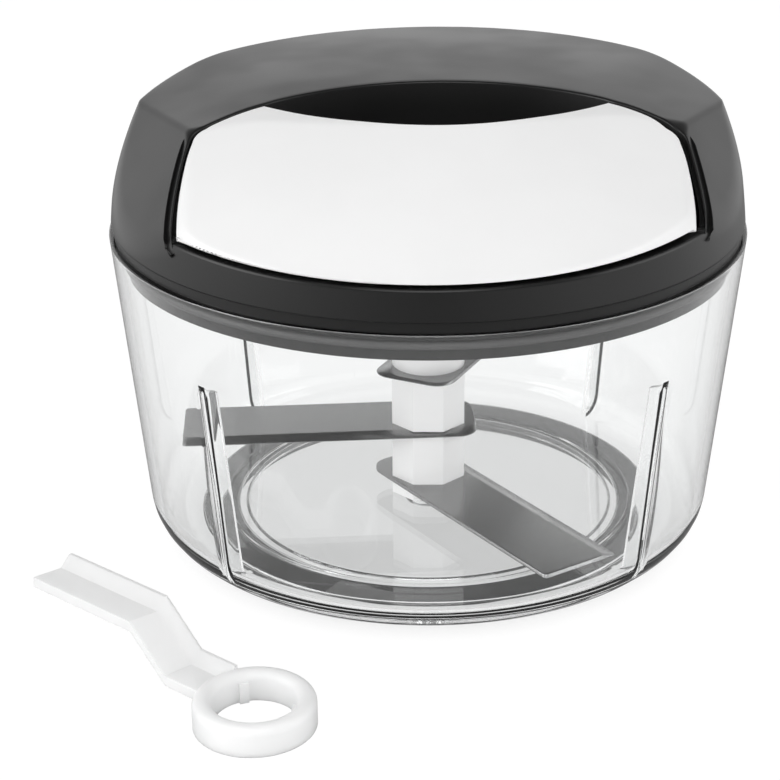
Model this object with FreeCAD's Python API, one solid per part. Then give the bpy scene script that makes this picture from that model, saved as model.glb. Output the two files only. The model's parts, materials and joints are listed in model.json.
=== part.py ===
"""Pull-string food chopper: a clear bowl, a three-wing blade insert and a domed lid with a
cord drum, whose handle pulls out to the front.

Millimetres. The origin is on the bowl's axis, on the table. +Z is up and -Y is the front.
"""
import FreeCAD, Part
import math
import os

V = FreeCAD.Vector

# Fits
PRESS_GAP = 0.05            # between pieces that are pressed or screwed together
RUN_GAP = 0.1               # between a shaft and its bearing
SLIDE_GAP = 0.3             # between pieces that pass each other

# Bowl
BOWL_HEIGHT = 81.9
BOWL_RIM_RADIUS = 79.0
BOWL_FOOT_RADIUS = 61.5
BOWL_LIFT = 2.0             # the bowl's own underside above the table
BOWL_CORNER = 10.8          # outside round between floor and wall
BOWL_INNER_CORNER = 6.0
BOWL_WALL = 2.2
BOWL_RIM_ROUND = 0.6
FLOOR_TOP = 6.6
FLOOR_UNDER = 5.0
PLATEAU_TOP = 7.4
PLATEAU_RADIUS = 50.3
BEAD_INNER_RADIUS = 45.0
BEAD_BOTTOM = 2.6

# Foot ring
FOOT_OUTER_RADIUS = 60.0
FOOT_INNER_RADIUS = 47.4
FOOT_HEIGHT = 4.4
FOOT_CHAMFER = 0.6
FOOT_GAP = 0.2

# Mixing ribs
RIB_COUNT = 4
RIB_FIRST_ANGLE = 45.0
RIB_THICKNESS = 2.2
RIB_FOOT_RADIUS = 64.6      # inner edge at the floor
RIB_LEAN = 0.119            # outward lean of the inner edge
RIB_HEIGHT = 57.4
RIB_TOP_RISE = 2.4
RIB_TOP_LEDGE = 0.8         # flat of the hooked top beside the wall

# Pin and its cap
PIN_RADIUS = 2.5
PIN_BOTTOM = 3.6
PIN_TOP = 22.0
PIN_CHAMFER = 0.75
PIN_BOSS_RADIUS = 5.0
PIN_BOSS_TOP = 9.2
PIN_SOCKET_RADIUS = 6.0
PIN_SOCKET_BOTTOM = 3.0
CAP_RADIUS = 4.2
CAP_CROWN = 1.5
CAP_CHAMFER = 1.0

# Blade insert
COLUMN_ACROSS = 18.6        # over the flats of the octagon
COLUMN_BOTTOM = 8.0
CORE_ACROSS = 12.0          # over the flats of the hexagonal shaft
CORE_TOP = 78.0
BLADE_THICKNESS = 1.0
BLADE_WIDTH = 21.5
BLADE_REACH = 62.3
BLADE_BACK = 12.0
BLADE_CORNER = 5.0
BLADE_BEVEL = 3.5
BLADE_EDGE = 0.15
LOWER_BLADE_Z = 11.6
MIDDLE_BLADE_Z = 26.6
UPPER_BLADE_Z = 42.2
LOWER_BLADE_ANGLE = 305.0
BLADE_STEP_ANGLE = 120.0
NECK_RADIUS = 9.3
KEY_BOTTOM = 72.0
KEY_ACROSS = 18.0
KEY_TOP = 82.0
KEY_CHAMFER = 1.2

# Lid base
LID_FLOOR_BOTTOM = 75.0
LID_FLOOR_TOP = 77.2
SKIRT_RADIUS = 75.0
SKIRT_WALL = 2.2
FLANGE_RADIUS = 77.8
FLANGE_TOP = 84.4
UPSTAND_WALL = 1.8
SEAL_OUTER_RADIUS = 76.1
SEAL_INNER_RADIUS = 73.6
SEAL_BOTTOM = 77.6
SEAL_HEIGHT = 2.0
SEAL_BACKING = 1.6
HUB_TUBE_RADIUS = 17.0
HUB_TUBE_TOP = 83.2

# Drive socket, bush and drum
SOCKET_RADIUS = 13.0
SOCKET_FLANGE_RADIUS = 15.5
SOCKET_FLANGE_BOTTOM = 83.6
SOCKET_TOP = 85.0
SOCKET_KEY_ACROSS = 9.0
BUSH_WALL = 1.9
BUSH_STAND = 0.2
DRUM_ROOT_RADIUS = 18.0
DRUM_FLANGE_RADIUS = 26.0
DRUM_LOWER_FLANGE = 1.8
DRUM_UPPER_FLANGE = 1.1
DRUM_FLOOR_TOP = 88.0
GROOVE_BOTTOM = 88.5
CORD_TURNS = 3
CORD_DIAMETER = 2.5
CORD_PITCH = 2.7
SPRING_CAVITY_RADIUS = 16.0
DRUM_SCREW_HEAD = 2.0
DRUM_SCREW_LAP = 1.5        # how far the head reaches over the key
DRUM_SCREW_RADIUS = 1.6
SOCKET_ROOF_THICKNESS = 1.0  # under the tip of the drum's screw

# Mechanism cover and spring
COVER_RADIUS = 31.0
COVER_WALL = 2.0
COVER_TOP = 100.0
COVER_ROOF = 1.5
ARBOR_RADIUS = 5.0
ARBOR_BOTTOM = 91.0
SPRING_WIDTH = 5.0
SPRING_STRIP = 0.4
SPRING_TURNS = 6
COVER_EAR_REACH = 36.0
COVER_EAR_RADIUS = 4.0
COVER_EAR_THICKNESS = 2.0
COVER_BOSS_TOP = 82.0
COVER_SCREW_ANGLES = (30.0, 150.0, 270.0)
COVER_SLOT_LEFT = 7.5       # window of the cord, to the left and right of the middle
COVER_SLOT_RIGHT = 4.0

# Dome of the lid
DOME_FOOT_RADIUS = 79.3
DOME_MIDDLE_RADIUS = 76.05  # the wall leans in and is slightly hollow
DOME_TOP_RADIUS = 73.2
DOME_WALL_HEIGHT = 31.0
SHELL_WALL = 2.2
CROWN_RADIUS = 810.0        # top facet
CROWN_TOP = 115.05
CROWN_BACK = 13.8           # how far behind the axis the top facet is highest
FRONT_CROSS_RADIUS = 262.0  # front facet, from side to side
FRONT_LENGTH_RADIUS = 650.0  # front facet, from front to back
FRONT_SLOPE = 22.9
FRONT_POINT = (1.9, -56.0, 102.36)
SIDE_POINT = (-55.8, -20.1, 110.2)
SIDE_AZIMUTH = 208.0
SIDE_ELEVATION = 47.5
REAR_POINT = (-55.7, -20.0, 110.6)
REAR_AZIMUTH = 193.5
REAR_ELEVATION = 79.3
SIDE_CREASE_ROUND = 5.0
REAR_CREASE_ROUND = 14.0
DOME_EDGE_ROUND = 3.0

# Handle and its pocket, in plan
HANDLE_CENTRE = 1.9
HANDLE_FRONT_HALF = 58.1
HANDLE_SHOULDER_HALF = 57.0
HANDLE_SHOULDER_Y = -21.4
HANDLE_CORNER_HALF = 41.2
HANDLE_CORNER_Y = -9.0
HANDLE_REAR_Y = -26.6       # middle of the hollow rear edge
HANDLE_WALL = 2.4
HANDLE_SKIRT = 2.2
HANDLE_SINK = 0.15          # handle surface under the surface of the dome
POCKET_CENTRE = 2.1
POCKET_FRONT_HALF = 59.4
POCKET_SHOULDER_HALF = 58.1
POCKET_GAP = 0.8            # round the rear corners of the handle
RECESS_REAR_Y = 6.8
POCKET_WALL = 2.0
POCKET_FLOOR = 88.0
TURRET_RADIUS = 34.5        # raised housing of the drum inside the pocket
TURRET_TOP = 102.3
SHELF_FRONT_Z = 91.9
SHELF_SLOPE = 0.10
SHELF_WIDTH = 3.6
HANDLE_FOOT_Z = 92.9
HANDLE_FOOT_SLOPE = 0.134
LID_FRONT_RADIUS = 77.7
HANDLE_OVER_TURRET = 1.0
CORNER_SPREAD = 0.4         # share of an offset that moves a rear corner sideways
SHOULDER_SPREAD = 0.6       # share of it that moves a shoulder backwards

# Cord run, eyelet and liner
CORD_BEND_Y = -30.0
CORD_BEND_RADIUS = 10.0
LAST_TURN_ANGLE = -160.0    # how far the last turn reaches back round the drum
EYELET_BORE = 1.7
EYELET_RADIUS = 3.2
EYELET_FLANGE_RADIUS = 4.4
EYELET_FLANGE = 1.2
EYELET_BELL = 0.8
KNOT_RADIUS = 2.2
KNOT_LENGTH = 5.0
LINER_THICKNESS = 1.5
LINER_HALF = 26.0
LINER_FRONT_Y = -69.0
LINER_REAR_Y = -50.0
CUP_HALF = 4.2
CUP_WALL = 1.2
CUP_FLOOR = 0.6
CUP_REAR_Y = -52.5
CUP_BOTTOM = 92.4
HANDLE_SCREW_SPREAD = 18.0
HANDLE_SCREW_Y = -57.0
HANDLE_SCREW_HEAD = 0.9
HANDLE_SCREW_REACH = 4.5    # from the liner's underside to the end of the screw's hole
HANDLE_BOSS_RADIUS = 3.0

# Screws of the lid
SHELL_SCREW_CIRCLE = 60.0
SHELL_SCREW_ANGLES = (45.0, 135.0, 225.0, 315.0)
SHELL_BOSS_RADIUS = 4.0
SCREW_RADIUS = 1.5
SCREW_HEAD_RADIUS = 2.8
SCREW_HEAD = 1.6
SCREW_LENGTH = 8.0

# Stirring arm
ARM_RING_CENTRE = (-38.0, -103.5)
ARM_ANGLE = 140.5
ARM_RING_RADIUS = 13.8
ARM_RING_BORE = 9.35
ARM_RING_HEIGHT = 7.0
ARM_RING_ROUND = 2.0
ARM_NECK_TOP = 6.0
ARM_NECK_END = 22.5
ARM_RAMP_END = 33.0
ARM_END = 65.6
ARM_TOP = 16.0
ARM_HALF = 5.6
ARM_THICKNESS = 1.6
ARM_HOLLOW = 1.0
ARM_RAIL = 1.5              # the far rail's rise over the near edge
ARM_RAIL_WIDTH = 0.8
ARM_KEY_WIDTH = 2.2
ARM_KEY_DEPTH = 0.8
ARM_KEY_ANGLES = (110.0, 350.0)

FAR = 400.0                 # reach of the blocks that stand for half-spaces
PAST = 1.0                  # how far a cutter runs past the faces it opens


def upright(r, z):
    return V(r, 0, z)


def flat(x, y):
    return V(x, y, 0)


def outline(steps, plane):
    """Closed wire through points. A pair of points is an arc to the second by way of the first."""
    edges = []
    here = plane(*steps[0])
    for step in list(steps[1:]) + [steps[0]]:
        if isinstance(step[0], tuple):
            end = plane(*step[1])
            edges.append(Part.Arc(here, plane(*step[0]), end).toShape())
        else:
            end = plane(*step)
            if end.distanceToPoint(here) > 1e-6:
                edges.append(Part.makeLine(here, end))
        here = end
    return Part.Wire(edges)


def turned(*steps):
    """Solid of revolution about Z from a half-section in radius and height."""
    return Part.Face(outline(steps, upright)).revolve(V(0, 0, 0), V(0, 0, 1), 360)


def prism(steps, low, high):
    """Upright solid over an outline in plan."""
    face = Part.Face(outline(steps, flat))
    face.translate(V(0, 0, low))
    return face.extrude(V(0, 0, high - low))


def cylinder(radius, low, high, x=0.0, y=0.0):
    return Part.makeCylinder(radius, high - low, V(x, y, low))


def tube(outer, inner, low, high, x=0.0, y=0.0):
    return cylinder(outer, low, high, x, y).cut(cylinder(inner, low - PAST, high + PAST, x, y))


def polygon_bar(sides, across, low, high, turn=0.0):
    """Regular bar, with its size over the flats. One flat faces +X when turn is 0."""
    corner = across / 2 / math.cos(math.pi / sides)
    angles = [math.radians(turn) + math.pi * (2 * k + 1) / sides for k in range(sides)]
    return prism([(corner * math.cos(a), corner * math.sin(a)) for a in angles], low, high)


def below(point, normal):
    """Block that fills the half-space behind a plane."""
    block = Part.makeBox(2 * FAR, 2 * FAR, FAR, V(-FAR, -FAR, -FAR))
    block.Placement = FreeCAD.Placement(V(*point), FreeCAD.Rotation(V(0, 0, 1), normal))
    return block


def facing(azimuth, elevation):
    a, e = math.radians(azimuth), math.radians(elevation)
    return V(math.cos(a) * math.cos(e), math.sin(a) * math.cos(e), math.sin(e))


def spun(shape, angle):
    copy = shape.copy()
    copy.rotate(V(0, 0, 0), V(0, 0, 1), angle)
    return copy


def mirrored(shape):
    return shape.mirror(V(0, 0, 0), V(1, 0, 0))


def around(radius, angles):
    """Points on a circle about the axis."""
    turns = [math.radians(a) for a in angles]
    return [(radius * math.cos(a), radius * math.sin(a)) for a in turns]


def rounded(shape, radius, kind, first, second):
    """Fillet on the edges between two kinds of face, as kind names each face."""
    edges = []
    for edge in shape.Edges:
        sides = [kind(face) for face in shape.ancestorsOfType(edge, Part.Face)]
        if len(sides) == 2 and (sides[0] in first and sides[1] in second
                                or sides[1] in first and sides[0] in second):
            edges.append(edge)
    return shape.makeFillet(radius, edges)


def screw(x, y, seat, length, up):
    """Pan head on its seat, with the shank up or down from it."""
    sign = 1 if up else -1
    head = Part.makeCylinder(SCREW_HEAD_RADIUS, SCREW_HEAD, V(x, y, seat), V(0, 0, -sign))
    shank = Part.makeCylinder(SCREW_RADIUS, length, V(x, y, seat), V(0, 0, sign))
    return head.fuse(shank).removeSplitter()


# Bowl

CORNER_CENTRE_Z = BOWL_LIFT + BOWL_CORNER
RIM_OUT = BOWL_RIM_RADIUS - BOWL_FOOT_RADIUS
RIM_UP = BOWL_HEIGHT - CORNER_CENTRE_Z
WALL_LEAN = math.atan2(RIM_OUT, RIM_UP) - math.asin(BOWL_CORNER / math.hypot(RIM_OUT, RIM_UP))


def bowl_radius(z, inset=0.0):
    """Radius of the bowl's leaning wall at a height, drawn in square to the wall."""
    return BOWL_RIM_RADIUS - (BOWL_HEIGHT - z) * math.tan(WALL_LEAN) - inset / math.cos(WALL_LEAN)


def corner_arc(r, z, radius):
    """Quarter round from the foot of a circle to where the leaning wall touches it."""
    half = -(math.pi / 2 + WALL_LEAN) / 2
    middle = (r + radius * math.cos(half), z + radius * math.sin(half))
    end = (r + radius * math.cos(WALL_LEAN), z - radius * math.sin(WALL_LEAN))
    return middle, end


def bowl():
    inner_z = FLOOR_TOP + BOWL_INNER_CORNER
    inner_r = bowl_radius(inner_z, BOWL_WALL + BOWL_INNER_CORNER)
    inner_middle, inner_end = corner_arc(inner_r, inner_z, BOWL_INNER_CORNER)
    channel_in = FOOT_INNER_RADIUS - FOOT_GAP
    channel_out = FOOT_OUTER_RADIUS + FOOT_GAP
    rim_in = bowl_radius(BOWL_HEIGHT, BOWL_WALL)
    low_rim = BOWL_HEIGHT - BOWL_RIM_ROUND
    nib = BOWL_RIM_ROUND * (1 - math.sqrt(0.5))
    shell = turned(
        (0, PIN_SOCKET_BOTTOM),
        (PIN_SOCKET_RADIUS, PIN_SOCKET_BOTTOM),
        (PIN_SOCKET_RADIUS, FLOOR_UNDER),
        (BEAD_INNER_RADIUS, FLOOR_UNDER),
        (BEAD_INNER_RADIUS, BEAD_BOTTOM),
        (channel_in, BEAD_BOTTOM),
        (channel_in, FOOT_HEIGHT),
        (channel_out, FOOT_HEIGHT),
        (channel_out, BOWL_LIFT),
        (BOWL_FOOT_RADIUS, BOWL_LIFT),
        corner_arc(BOWL_FOOT_RADIUS, CORNER_CENTRE_Z, BOWL_CORNER),
        (bowl_radius(low_rim), low_rim),
        ((BOWL_RIM_RADIUS - nib, BOWL_HEIGHT - nib), (BOWL_RIM_RADIUS - BOWL_RIM_ROUND, BOWL_HEIGHT)),
        (rim_in, BOWL_HEIGHT),
        inner_end,
        (inner_middle, (inner_r, FLOOR_TOP)),
        (PLATEAU_RADIUS, FLOOR_TOP),
        (PLATEAU_RADIUS, PLATEAU_TOP),
        (PIN_BOSS_RADIUS, PLATEAU_TOP),
        (PIN_BOSS_RADIUS, PIN_BOSS_TOP),
        (PIN_RADIUS + PRESS_GAP, PIN_BOSS_TOP),
        (PIN_RADIUS + PRESS_GAP, PIN_BOTTOM),
        (0, PIN_BOTTOM),
    )
    return shell.fuse(ribs()).removeSplitter()


def rib_edge(z):
    return RIB_FOOT_RADIUS + RIB_LEAN * (z - FLOOR_TOP)


def ribs():
    """Radial plates that grow out of the wall and the floor."""
    sunk = BOWL_WALL / 2
    floor_z = FLOOR_TOP - sunk / 2
    bend_z = FLOOR_TOP + BOWL_INNER_CORNER
    inner_r = bowl_radius(bend_z, BOWL_WALL + BOWL_INNER_CORNER)
    top_z = RIB_HEIGHT + RIB_TOP_RISE
    steps = [
        (rib_edge(floor_z), floor_z),
        (inner_r, floor_z),
        (bowl_radius(bend_z, sunk), bend_z),
        (bowl_radius(top_z, sunk), top_z),
        (bowl_radius(top_z, BOWL_WALL + RIB_TOP_LEDGE), top_z),
        (rib_edge(RIB_HEIGHT), RIB_HEIGHT),
    ]
    face = Part.Face(outline(steps, upright))
    face.translate(V(0, -RIB_THICKNESS / 2, 0))
    rib = face.extrude(V(0, RIB_THICKNESS, 0))
    step = 360.0 / RIB_COUNT
    return [spun(rib, RIB_FIRST_ANGLE + step * k) for k in range(RIB_COUNT)]


def foot_ring():
    return turned(
        (FOOT_INNER_RADIUS + FOOT_CHAMFER, 0),
        (FOOT_OUTER_RADIUS - FOOT_CHAMFER, 0),
        (FOOT_OUTER_RADIUS, FOOT_CHAMFER),
        (FOOT_OUTER_RADIUS, FOOT_HEIGHT),
        (FOOT_INNER_RADIUS, FOOT_HEIGHT),
        (FOOT_INNER_RADIUS, FOOT_CHAMFER),
    )


def pivot_pin():
    return turned(
        (0, PIN_BOTTOM),
        (PIN_RADIUS, PIN_BOTTOM),
        (PIN_RADIUS, PIN_TOP - PIN_CHAMFER),
        (PIN_RADIUS - PIN_CHAMFER, PIN_TOP),
        (0, PIN_TOP),
    )


CAP_BOTTOM = PIN_BOSS_TOP + RUN_GAP
CAP_BORE_TOP = PIN_TOP + RUN_GAP
CAP_TOP = CAP_BORE_TOP + CAP_CROWN


def pin_cap():
    bore = PIN_RADIUS + PRESS_GAP
    return turned(
        (bore, CAP_BOTTOM),
        (CAP_RADIUS, CAP_BOTTOM),
        (CAP_RADIUS, CAP_TOP - CAP_CHAMFER),
        (CAP_RADIUS - CAP_CHAMFER, CAP_TOP),
        (0, CAP_TOP),
        (0, CAP_BORE_TOP),
        (bore, CAP_BORE_TOP),
    )


# Blade insert

CORE_BOTTOM = PIN_BOSS_TOP + SLIDE_GAP
CORE_HOLE = CORE_ACROSS + 2 * PRESS_GAP


def core_hole(low, high):
    return polygon_bar(6, CORE_HOLE, low, high)


def column_piece(low, high):
    return polygon_bar(8, COLUMN_ACROSS, low, high).cut(core_hole(low - PAST, high + PAST))


def foot_hub():
    """Bottom of the column, hollowed over the boss of the pin."""
    hub = polygon_bar(8, COLUMN_ACROSS, COLUMN_BOTTOM, LOWER_BLADE_Z)
    hub = hub.cut(cylinder(PIN_BOSS_RADIUS + SLIDE_GAP, COLUMN_BOTTOM - PAST, CORE_BOTTOM))
    return hub.cut(core_hole(CORE_BOTTOM, LOWER_BLADE_Z + PAST))


def core_shaft():
    bore_top = CAP_TOP + RUN_GAP
    bar = polygon_bar(6, CORE_ACROSS, CORE_BOTTOM, CORE_TOP)
    return bar.cut(cylinder(CAP_RADIUS + RUN_GAP, CORE_BOTTOM - PAST, bore_top))


def blade(z, angle):
    """One wing with a ground leading edge, on the side towards which it turns."""
    half = BLADE_WIDTH / 2
    top = BLADE_THICKNESS
    face = Part.Face(Part.makePolygon([
        V(-BLADE_BACK, -half, 0),
        V(-BLADE_BACK, half, 0),
        V(-BLADE_BACK, half, BLADE_EDGE),
        V(-BLADE_BACK, half - BLADE_BEVEL, top),
        V(-BLADE_BACK, -half, top),
        V(-BLADE_BACK, -half, 0),
    ]))
    stock = face.extrude(V(BLADE_BACK + BLADE_REACH, 0, 0))
    c = BLADE_CORNER
    k = c * (1 - math.sqrt(0.5))
    tip, back = BLADE_REACH, -BLADE_BACK
    plan = prism([
        (back + c, -half),
        (tip - c, -half),
        ((tip - k, -half + k), (tip, -half + c)),
        (tip, half - c),
        ((tip - k, half - k), (tip - c, half)),
        (back + c, half),
        ((back + k, half - k), (back, half - c)),
        (back, -half + c),
        ((back + k, -half + k), (back + c, -half)),
    ], -PAST, top + PAST)
    wing = spun(stock.common(plan), angle)
    wing.translate(V(0, 0, z))
    return wing.cut(core_hole(z - PAST, z + top + PAST))


def drive_head():
    """Round neck over the upper blade, with the octagonal key at its top."""
    low = UPPER_BLADE_Z + BLADE_THICKNESS
    neck = cylinder(NECK_RADIUS, low, KEY_BOTTOM)
    key = polygon_bar(8, KEY_ACROSS, KEY_BOTTOM, KEY_TOP)
    corner = KEY_ACROSS / 2 / math.cos(math.pi / 8)
    key = key.common(turned(
        (0, KEY_BOTTOM),
        (corner + PAST, KEY_BOTTOM),
        (corner + PAST, KEY_TOP - KEY_CHAMFER - PAST),
        (corner - KEY_CHAMFER, KEY_TOP),
        (0, KEY_TOP),
    ))
    return neck.fuse(key).cut(core_hole(low - PAST, CORE_TOP + RUN_GAP)).removeSplitter()


# Lid base, bush, socket and drum

BUSH_INNER = SOCKET_RADIUS + PRESS_GAP
BUSH_OUTER = BUSH_INNER + BUSH_WALL
SHELL_SCREW_PLACES = around(SHELL_SCREW_CIRCLE, SHELL_SCREW_ANGLES)
COVER_SCREW_PLACES = around(COVER_EAR_REACH, COVER_SCREW_ANGLES)
SHELL_SCREW_SEAT = LID_FLOOR_BOTTOM + SCREW_HEAD + PRESS_GAP


def lid_base():
    """Floor with the hub tube, skirt with the seal groove, flange on the rim and upstand."""
    groove_bottom = SEAL_BOTTOM - PRESS_GAP
    groove_top = SEAL_BOTTOM + SEAL_HEIGHT + PRESS_GAP
    groove_back = SEAL_INNER_RADIUS - PRESS_GAP
    skirt_in = SKIRT_RADIUS - SKIRT_WALL
    backing_in = groove_back - SEAL_BACKING
    upstand_top = POCKET_FLOOR - POCKET_WALL - RUN_GAP
    upstand_out = dome_radius(upstand_top, SHELL_WALL) - PRESS_GAP
    base = turned(
        (BUSH_OUTER + PRESS_GAP, LID_FLOOR_BOTTOM),
        (SKIRT_RADIUS, LID_FLOOR_BOTTOM),
        (SKIRT_RADIUS, groove_bottom),
        (groove_back, groove_bottom),
        (groove_back, groove_top),
        (SKIRT_RADIUS, groove_top),
        (SKIRT_RADIUS, BOWL_HEIGHT),
        (FLANGE_RADIUS, BOWL_HEIGHT),
        (FLANGE_RADIUS, FLANGE_TOP),
        (upstand_out, FLANGE_TOP),
        (upstand_out, upstand_top),
        (upstand_out - UPSTAND_WALL, upstand_top),
        (upstand_out - UPSTAND_WALL, FLANGE_TOP),
        (skirt_in, FLANGE_TOP - SKIRT_WALL),
        (backing_in, groove_top + SEAL_BACKING),
        (backing_in, LID_FLOOR_TOP),
        (HUB_TUBE_RADIUS, LID_FLOOR_TOP),
        (HUB_TUBE_RADIUS, HUB_TUBE_TOP),
        (BUSH_OUTER + PRESS_GAP, HUB_TUBE_TOP),
    )
    hole = SCREW_RADIUS + PRESS_GAP
    for x, y in COVER_SCREW_PLACES:
        boss = cylinder(COVER_EAR_RADIUS, LID_FLOOR_TOP - SKIRT_WALL / 2, COVER_BOSS_TOP, x, y)
        base = base.fuse(boss).cut(cylinder(hole, LID_FLOOR_TOP - PAST, COVER_BOSS_TOP + PAST, x, y))
    seat = SHELL_SCREW_SEAT
    for x, y in SHELL_SCREW_PLACES:
        base = base.cut(cylinder(hole, LID_FLOOR_BOTTOM - PAST, LID_FLOOR_TOP + PAST, x, y))
        head = cylinder(SCREW_HEAD_RADIUS + PRESS_GAP, LID_FLOOR_BOTTOM - PAST, seat, x, y)
        base = base.cut(head)
    return base.removeSplitter()


def seal_ring():
    half = SEAL_HEIGHT / 2
    middle = SEAL_BOTTOM + half
    return turned(
        (SEAL_INNER_RADIUS, SEAL_BOTTOM),
        (SEAL_OUTER_RADIUS - half, SEAL_BOTTOM),
        ((SEAL_OUTER_RADIUS, middle), (SEAL_OUTER_RADIUS - half, SEAL_BOTTOM + SEAL_HEIGHT)),
        (SEAL_INNER_RADIUS, SEAL_BOTTOM + SEAL_HEIGHT),
    )


def hub_bush():
    return tube(BUSH_OUTER, BUSH_INNER, LID_FLOOR_BOTTOM, HUB_TUBE_TOP + BUSH_STAND)


SOCKET_ROOF = KEY_TOP + SLIDE_GAP
KEY_BOSS_TOP = DRUM_FLOOR_TOP - BUSH_STAND
DRUM_SCREW_TIP = SOCKET_ROOF + SOCKET_ROOF_THICKNESS


def drive_socket():
    """Octagonal socket that turns in the bush, with a key that carries the drum."""
    body = cylinder(SOCKET_RADIUS, LID_FLOOR_BOTTOM, SOCKET_TOP)
    body = body.fuse(cylinder(SOCKET_FLANGE_RADIUS, SOCKET_FLANGE_BOTTOM, SOCKET_TOP))
    body = body.fuse(polygon_bar(8, SOCKET_KEY_ACROSS, SOCKET_FLANGE_BOTTOM, KEY_BOSS_TOP))
    recess = polygon_bar(8, KEY_ACROSS + 2 * SLIDE_GAP, LID_FLOOR_BOTTOM - PAST, SOCKET_ROOF)
    hole = cylinder(DRUM_SCREW_RADIUS + PRESS_GAP, DRUM_SCREW_TIP - RUN_GAP, KEY_BOSS_TOP + PAST)
    return body.cut(recess).cut(hole).removeSplitter()


GROOVE_TOP = GROOVE_BOTTOM + CORD_PITCH * CORD_TURNS
DRUM_TOP = GROOVE_TOP + DRUM_UPPER_FLANGE
CORD_Z = GROOVE_TOP - CORD_PITCH / 2
WINDING_RADIUS = DRUM_ROOT_RADIUS + RUN_GAP + CORD_DIAMETER / 2


def cord_drum():
    """Spool with the cord groove outside and the spring cavity inside."""
    drum = turned(
        (0, SOCKET_TOP),
        (DRUM_ROOT_RADIUS, SOCKET_TOP),
        (DRUM_ROOT_RADIUS, GROOVE_BOTTOM - DRUM_LOWER_FLANGE),
        (DRUM_FLANGE_RADIUS, GROOVE_BOTTOM - DRUM_LOWER_FLANGE),
        (DRUM_FLANGE_RADIUS, GROOVE_BOTTOM),
        (DRUM_ROOT_RADIUS, GROOVE_BOTTOM),
        (DRUM_ROOT_RADIUS, GROOVE_TOP),
        (DRUM_FLANGE_RADIUS, GROOVE_TOP),
        (DRUM_FLANGE_RADIUS, DRUM_TOP),
        (SPRING_CAVITY_RADIUS, DRUM_TOP),
        (SPRING_CAVITY_RADIUS, DRUM_FLOOR_TOP),
        (0, DRUM_FLOOR_TOP),
    )
    key = SOCKET_KEY_ACROSS + 2 * PRESS_GAP
    return drum.cut(polygon_bar(8, key, SOCKET_TOP - PAST, DRUM_FLOOR_TOP + PAST))


def drum_screw():
    head = cylinder(SOCKET_KEY_ACROSS / 2 + DRUM_SCREW_LAP, DRUM_FLOOR_TOP, DRUM_FLOOR_TOP + DRUM_SCREW_HEAD)
    return head.fuse(cylinder(DRUM_SCREW_RADIUS, DRUM_SCREW_TIP, DRUM_FLOOR_TOP)).removeSplitter()


def cord_winding():
    """Whole turns of cord side by side in the groove, as one lobed ring, under the last turn."""
    inner = DRUM_ROOT_RADIUS + PRESS_GAP
    waist = DRUM_ROOT_RADIUS + CORD_DIAMETER * 0.75
    crest = DRUM_ROOT_RADIUS + CORD_DIAMETER
    low = GROOVE_BOTTOM + PRESS_GAP
    steps = [(inner, low), (waist, low)]
    for turn in range(CORD_TURNS - 1):
        z = low + CORD_PITCH * turn
        steps.append(((crest, z + CORD_PITCH / 2), (waist, z + CORD_PITCH)))
    steps.append((inner, steps[-1][1][1]))
    return turned(*steps)


# Mechanism cover, spring, cord run and eyelet

COVER_INSIDE_TOP = COVER_TOP - COVER_ROOF


def winding_exit():
    """Angle and place where the cord leaves the drum, on the tangent through the bend."""
    angle = -math.pi / 2 - math.acos(WINDING_RADIUS / -CORD_BEND_Y)
    return angle, V(WINDING_RADIUS * math.cos(angle), WINDING_RADIUS * math.sin(angle), CORD_Z)


def mechanism_cover():
    """Cup over the drum, with ears for its screws, a slot for the cord and the arbor."""
    cup = turned(
        (COVER_RADIUS - COVER_WALL, LID_FLOOR_TOP),
        (COVER_RADIUS, LID_FLOOR_TOP),
        (COVER_RADIUS, COVER_TOP),
        (0, COVER_TOP),
        (0, ARBOR_BOTTOM),
        (ARBOR_RADIUS, ARBOR_BOTTOM),
        (ARBOR_RADIUS, COVER_INSIDE_TOP),
        (COVER_RADIUS - COVER_WALL, COVER_INSIDE_TOP),
    )
    ear_top = COVER_BOSS_TOP + COVER_EAR_THICKNESS
    hollow = cylinder(COVER_RADIUS - COVER_WALL, COVER_BOSS_TOP - PAST, ear_top + PAST)
    for (x, y), angle in zip(COVER_SCREW_PLACES, COVER_SCREW_ANGLES):
        ear = cylinder(COVER_EAR_RADIUS, COVER_BOSS_TOP, ear_top, x, y)
        web = Part.makeBox(COVER_EAR_REACH, 2 * COVER_EAR_RADIUS, COVER_EAR_THICKNESS,
                           V(0, -COVER_EAR_RADIUS, COVER_BOSS_TOP))
        cup = cup.fuse(ear.fuse(spun(web, angle)).cut(hollow))
        cup = cup.cut(cylinder(SCREW_RADIUS + PRESS_GAP, COVER_BOSS_TOP - PAST, ear_top + PAST, x, y))
        slot = cylinder(COVER_EAR_RADIUS + RUN_GAP, LID_FLOOR_TOP - PAST, COVER_BOSS_TOP, x, y)
        cup = cup.cut(slot)
    half = CORD_DIAMETER / 2 + 2 * SLIDE_GAP
    window = Part.makeBox(COVER_SLOT_LEFT + COVER_SLOT_RIGHT, COVER_RADIUS, 2 * half,
                          V(-COVER_SLOT_LEFT, -COVER_RADIUS - PAST, CORD_Z - half))
    clear = cylinder(DRUM_FLANGE_RADIUS, CORD_Z - half - PAST, CORD_Z + half + PAST)
    return cup.cut(window.cut(clear)).removeSplitter()


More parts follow.
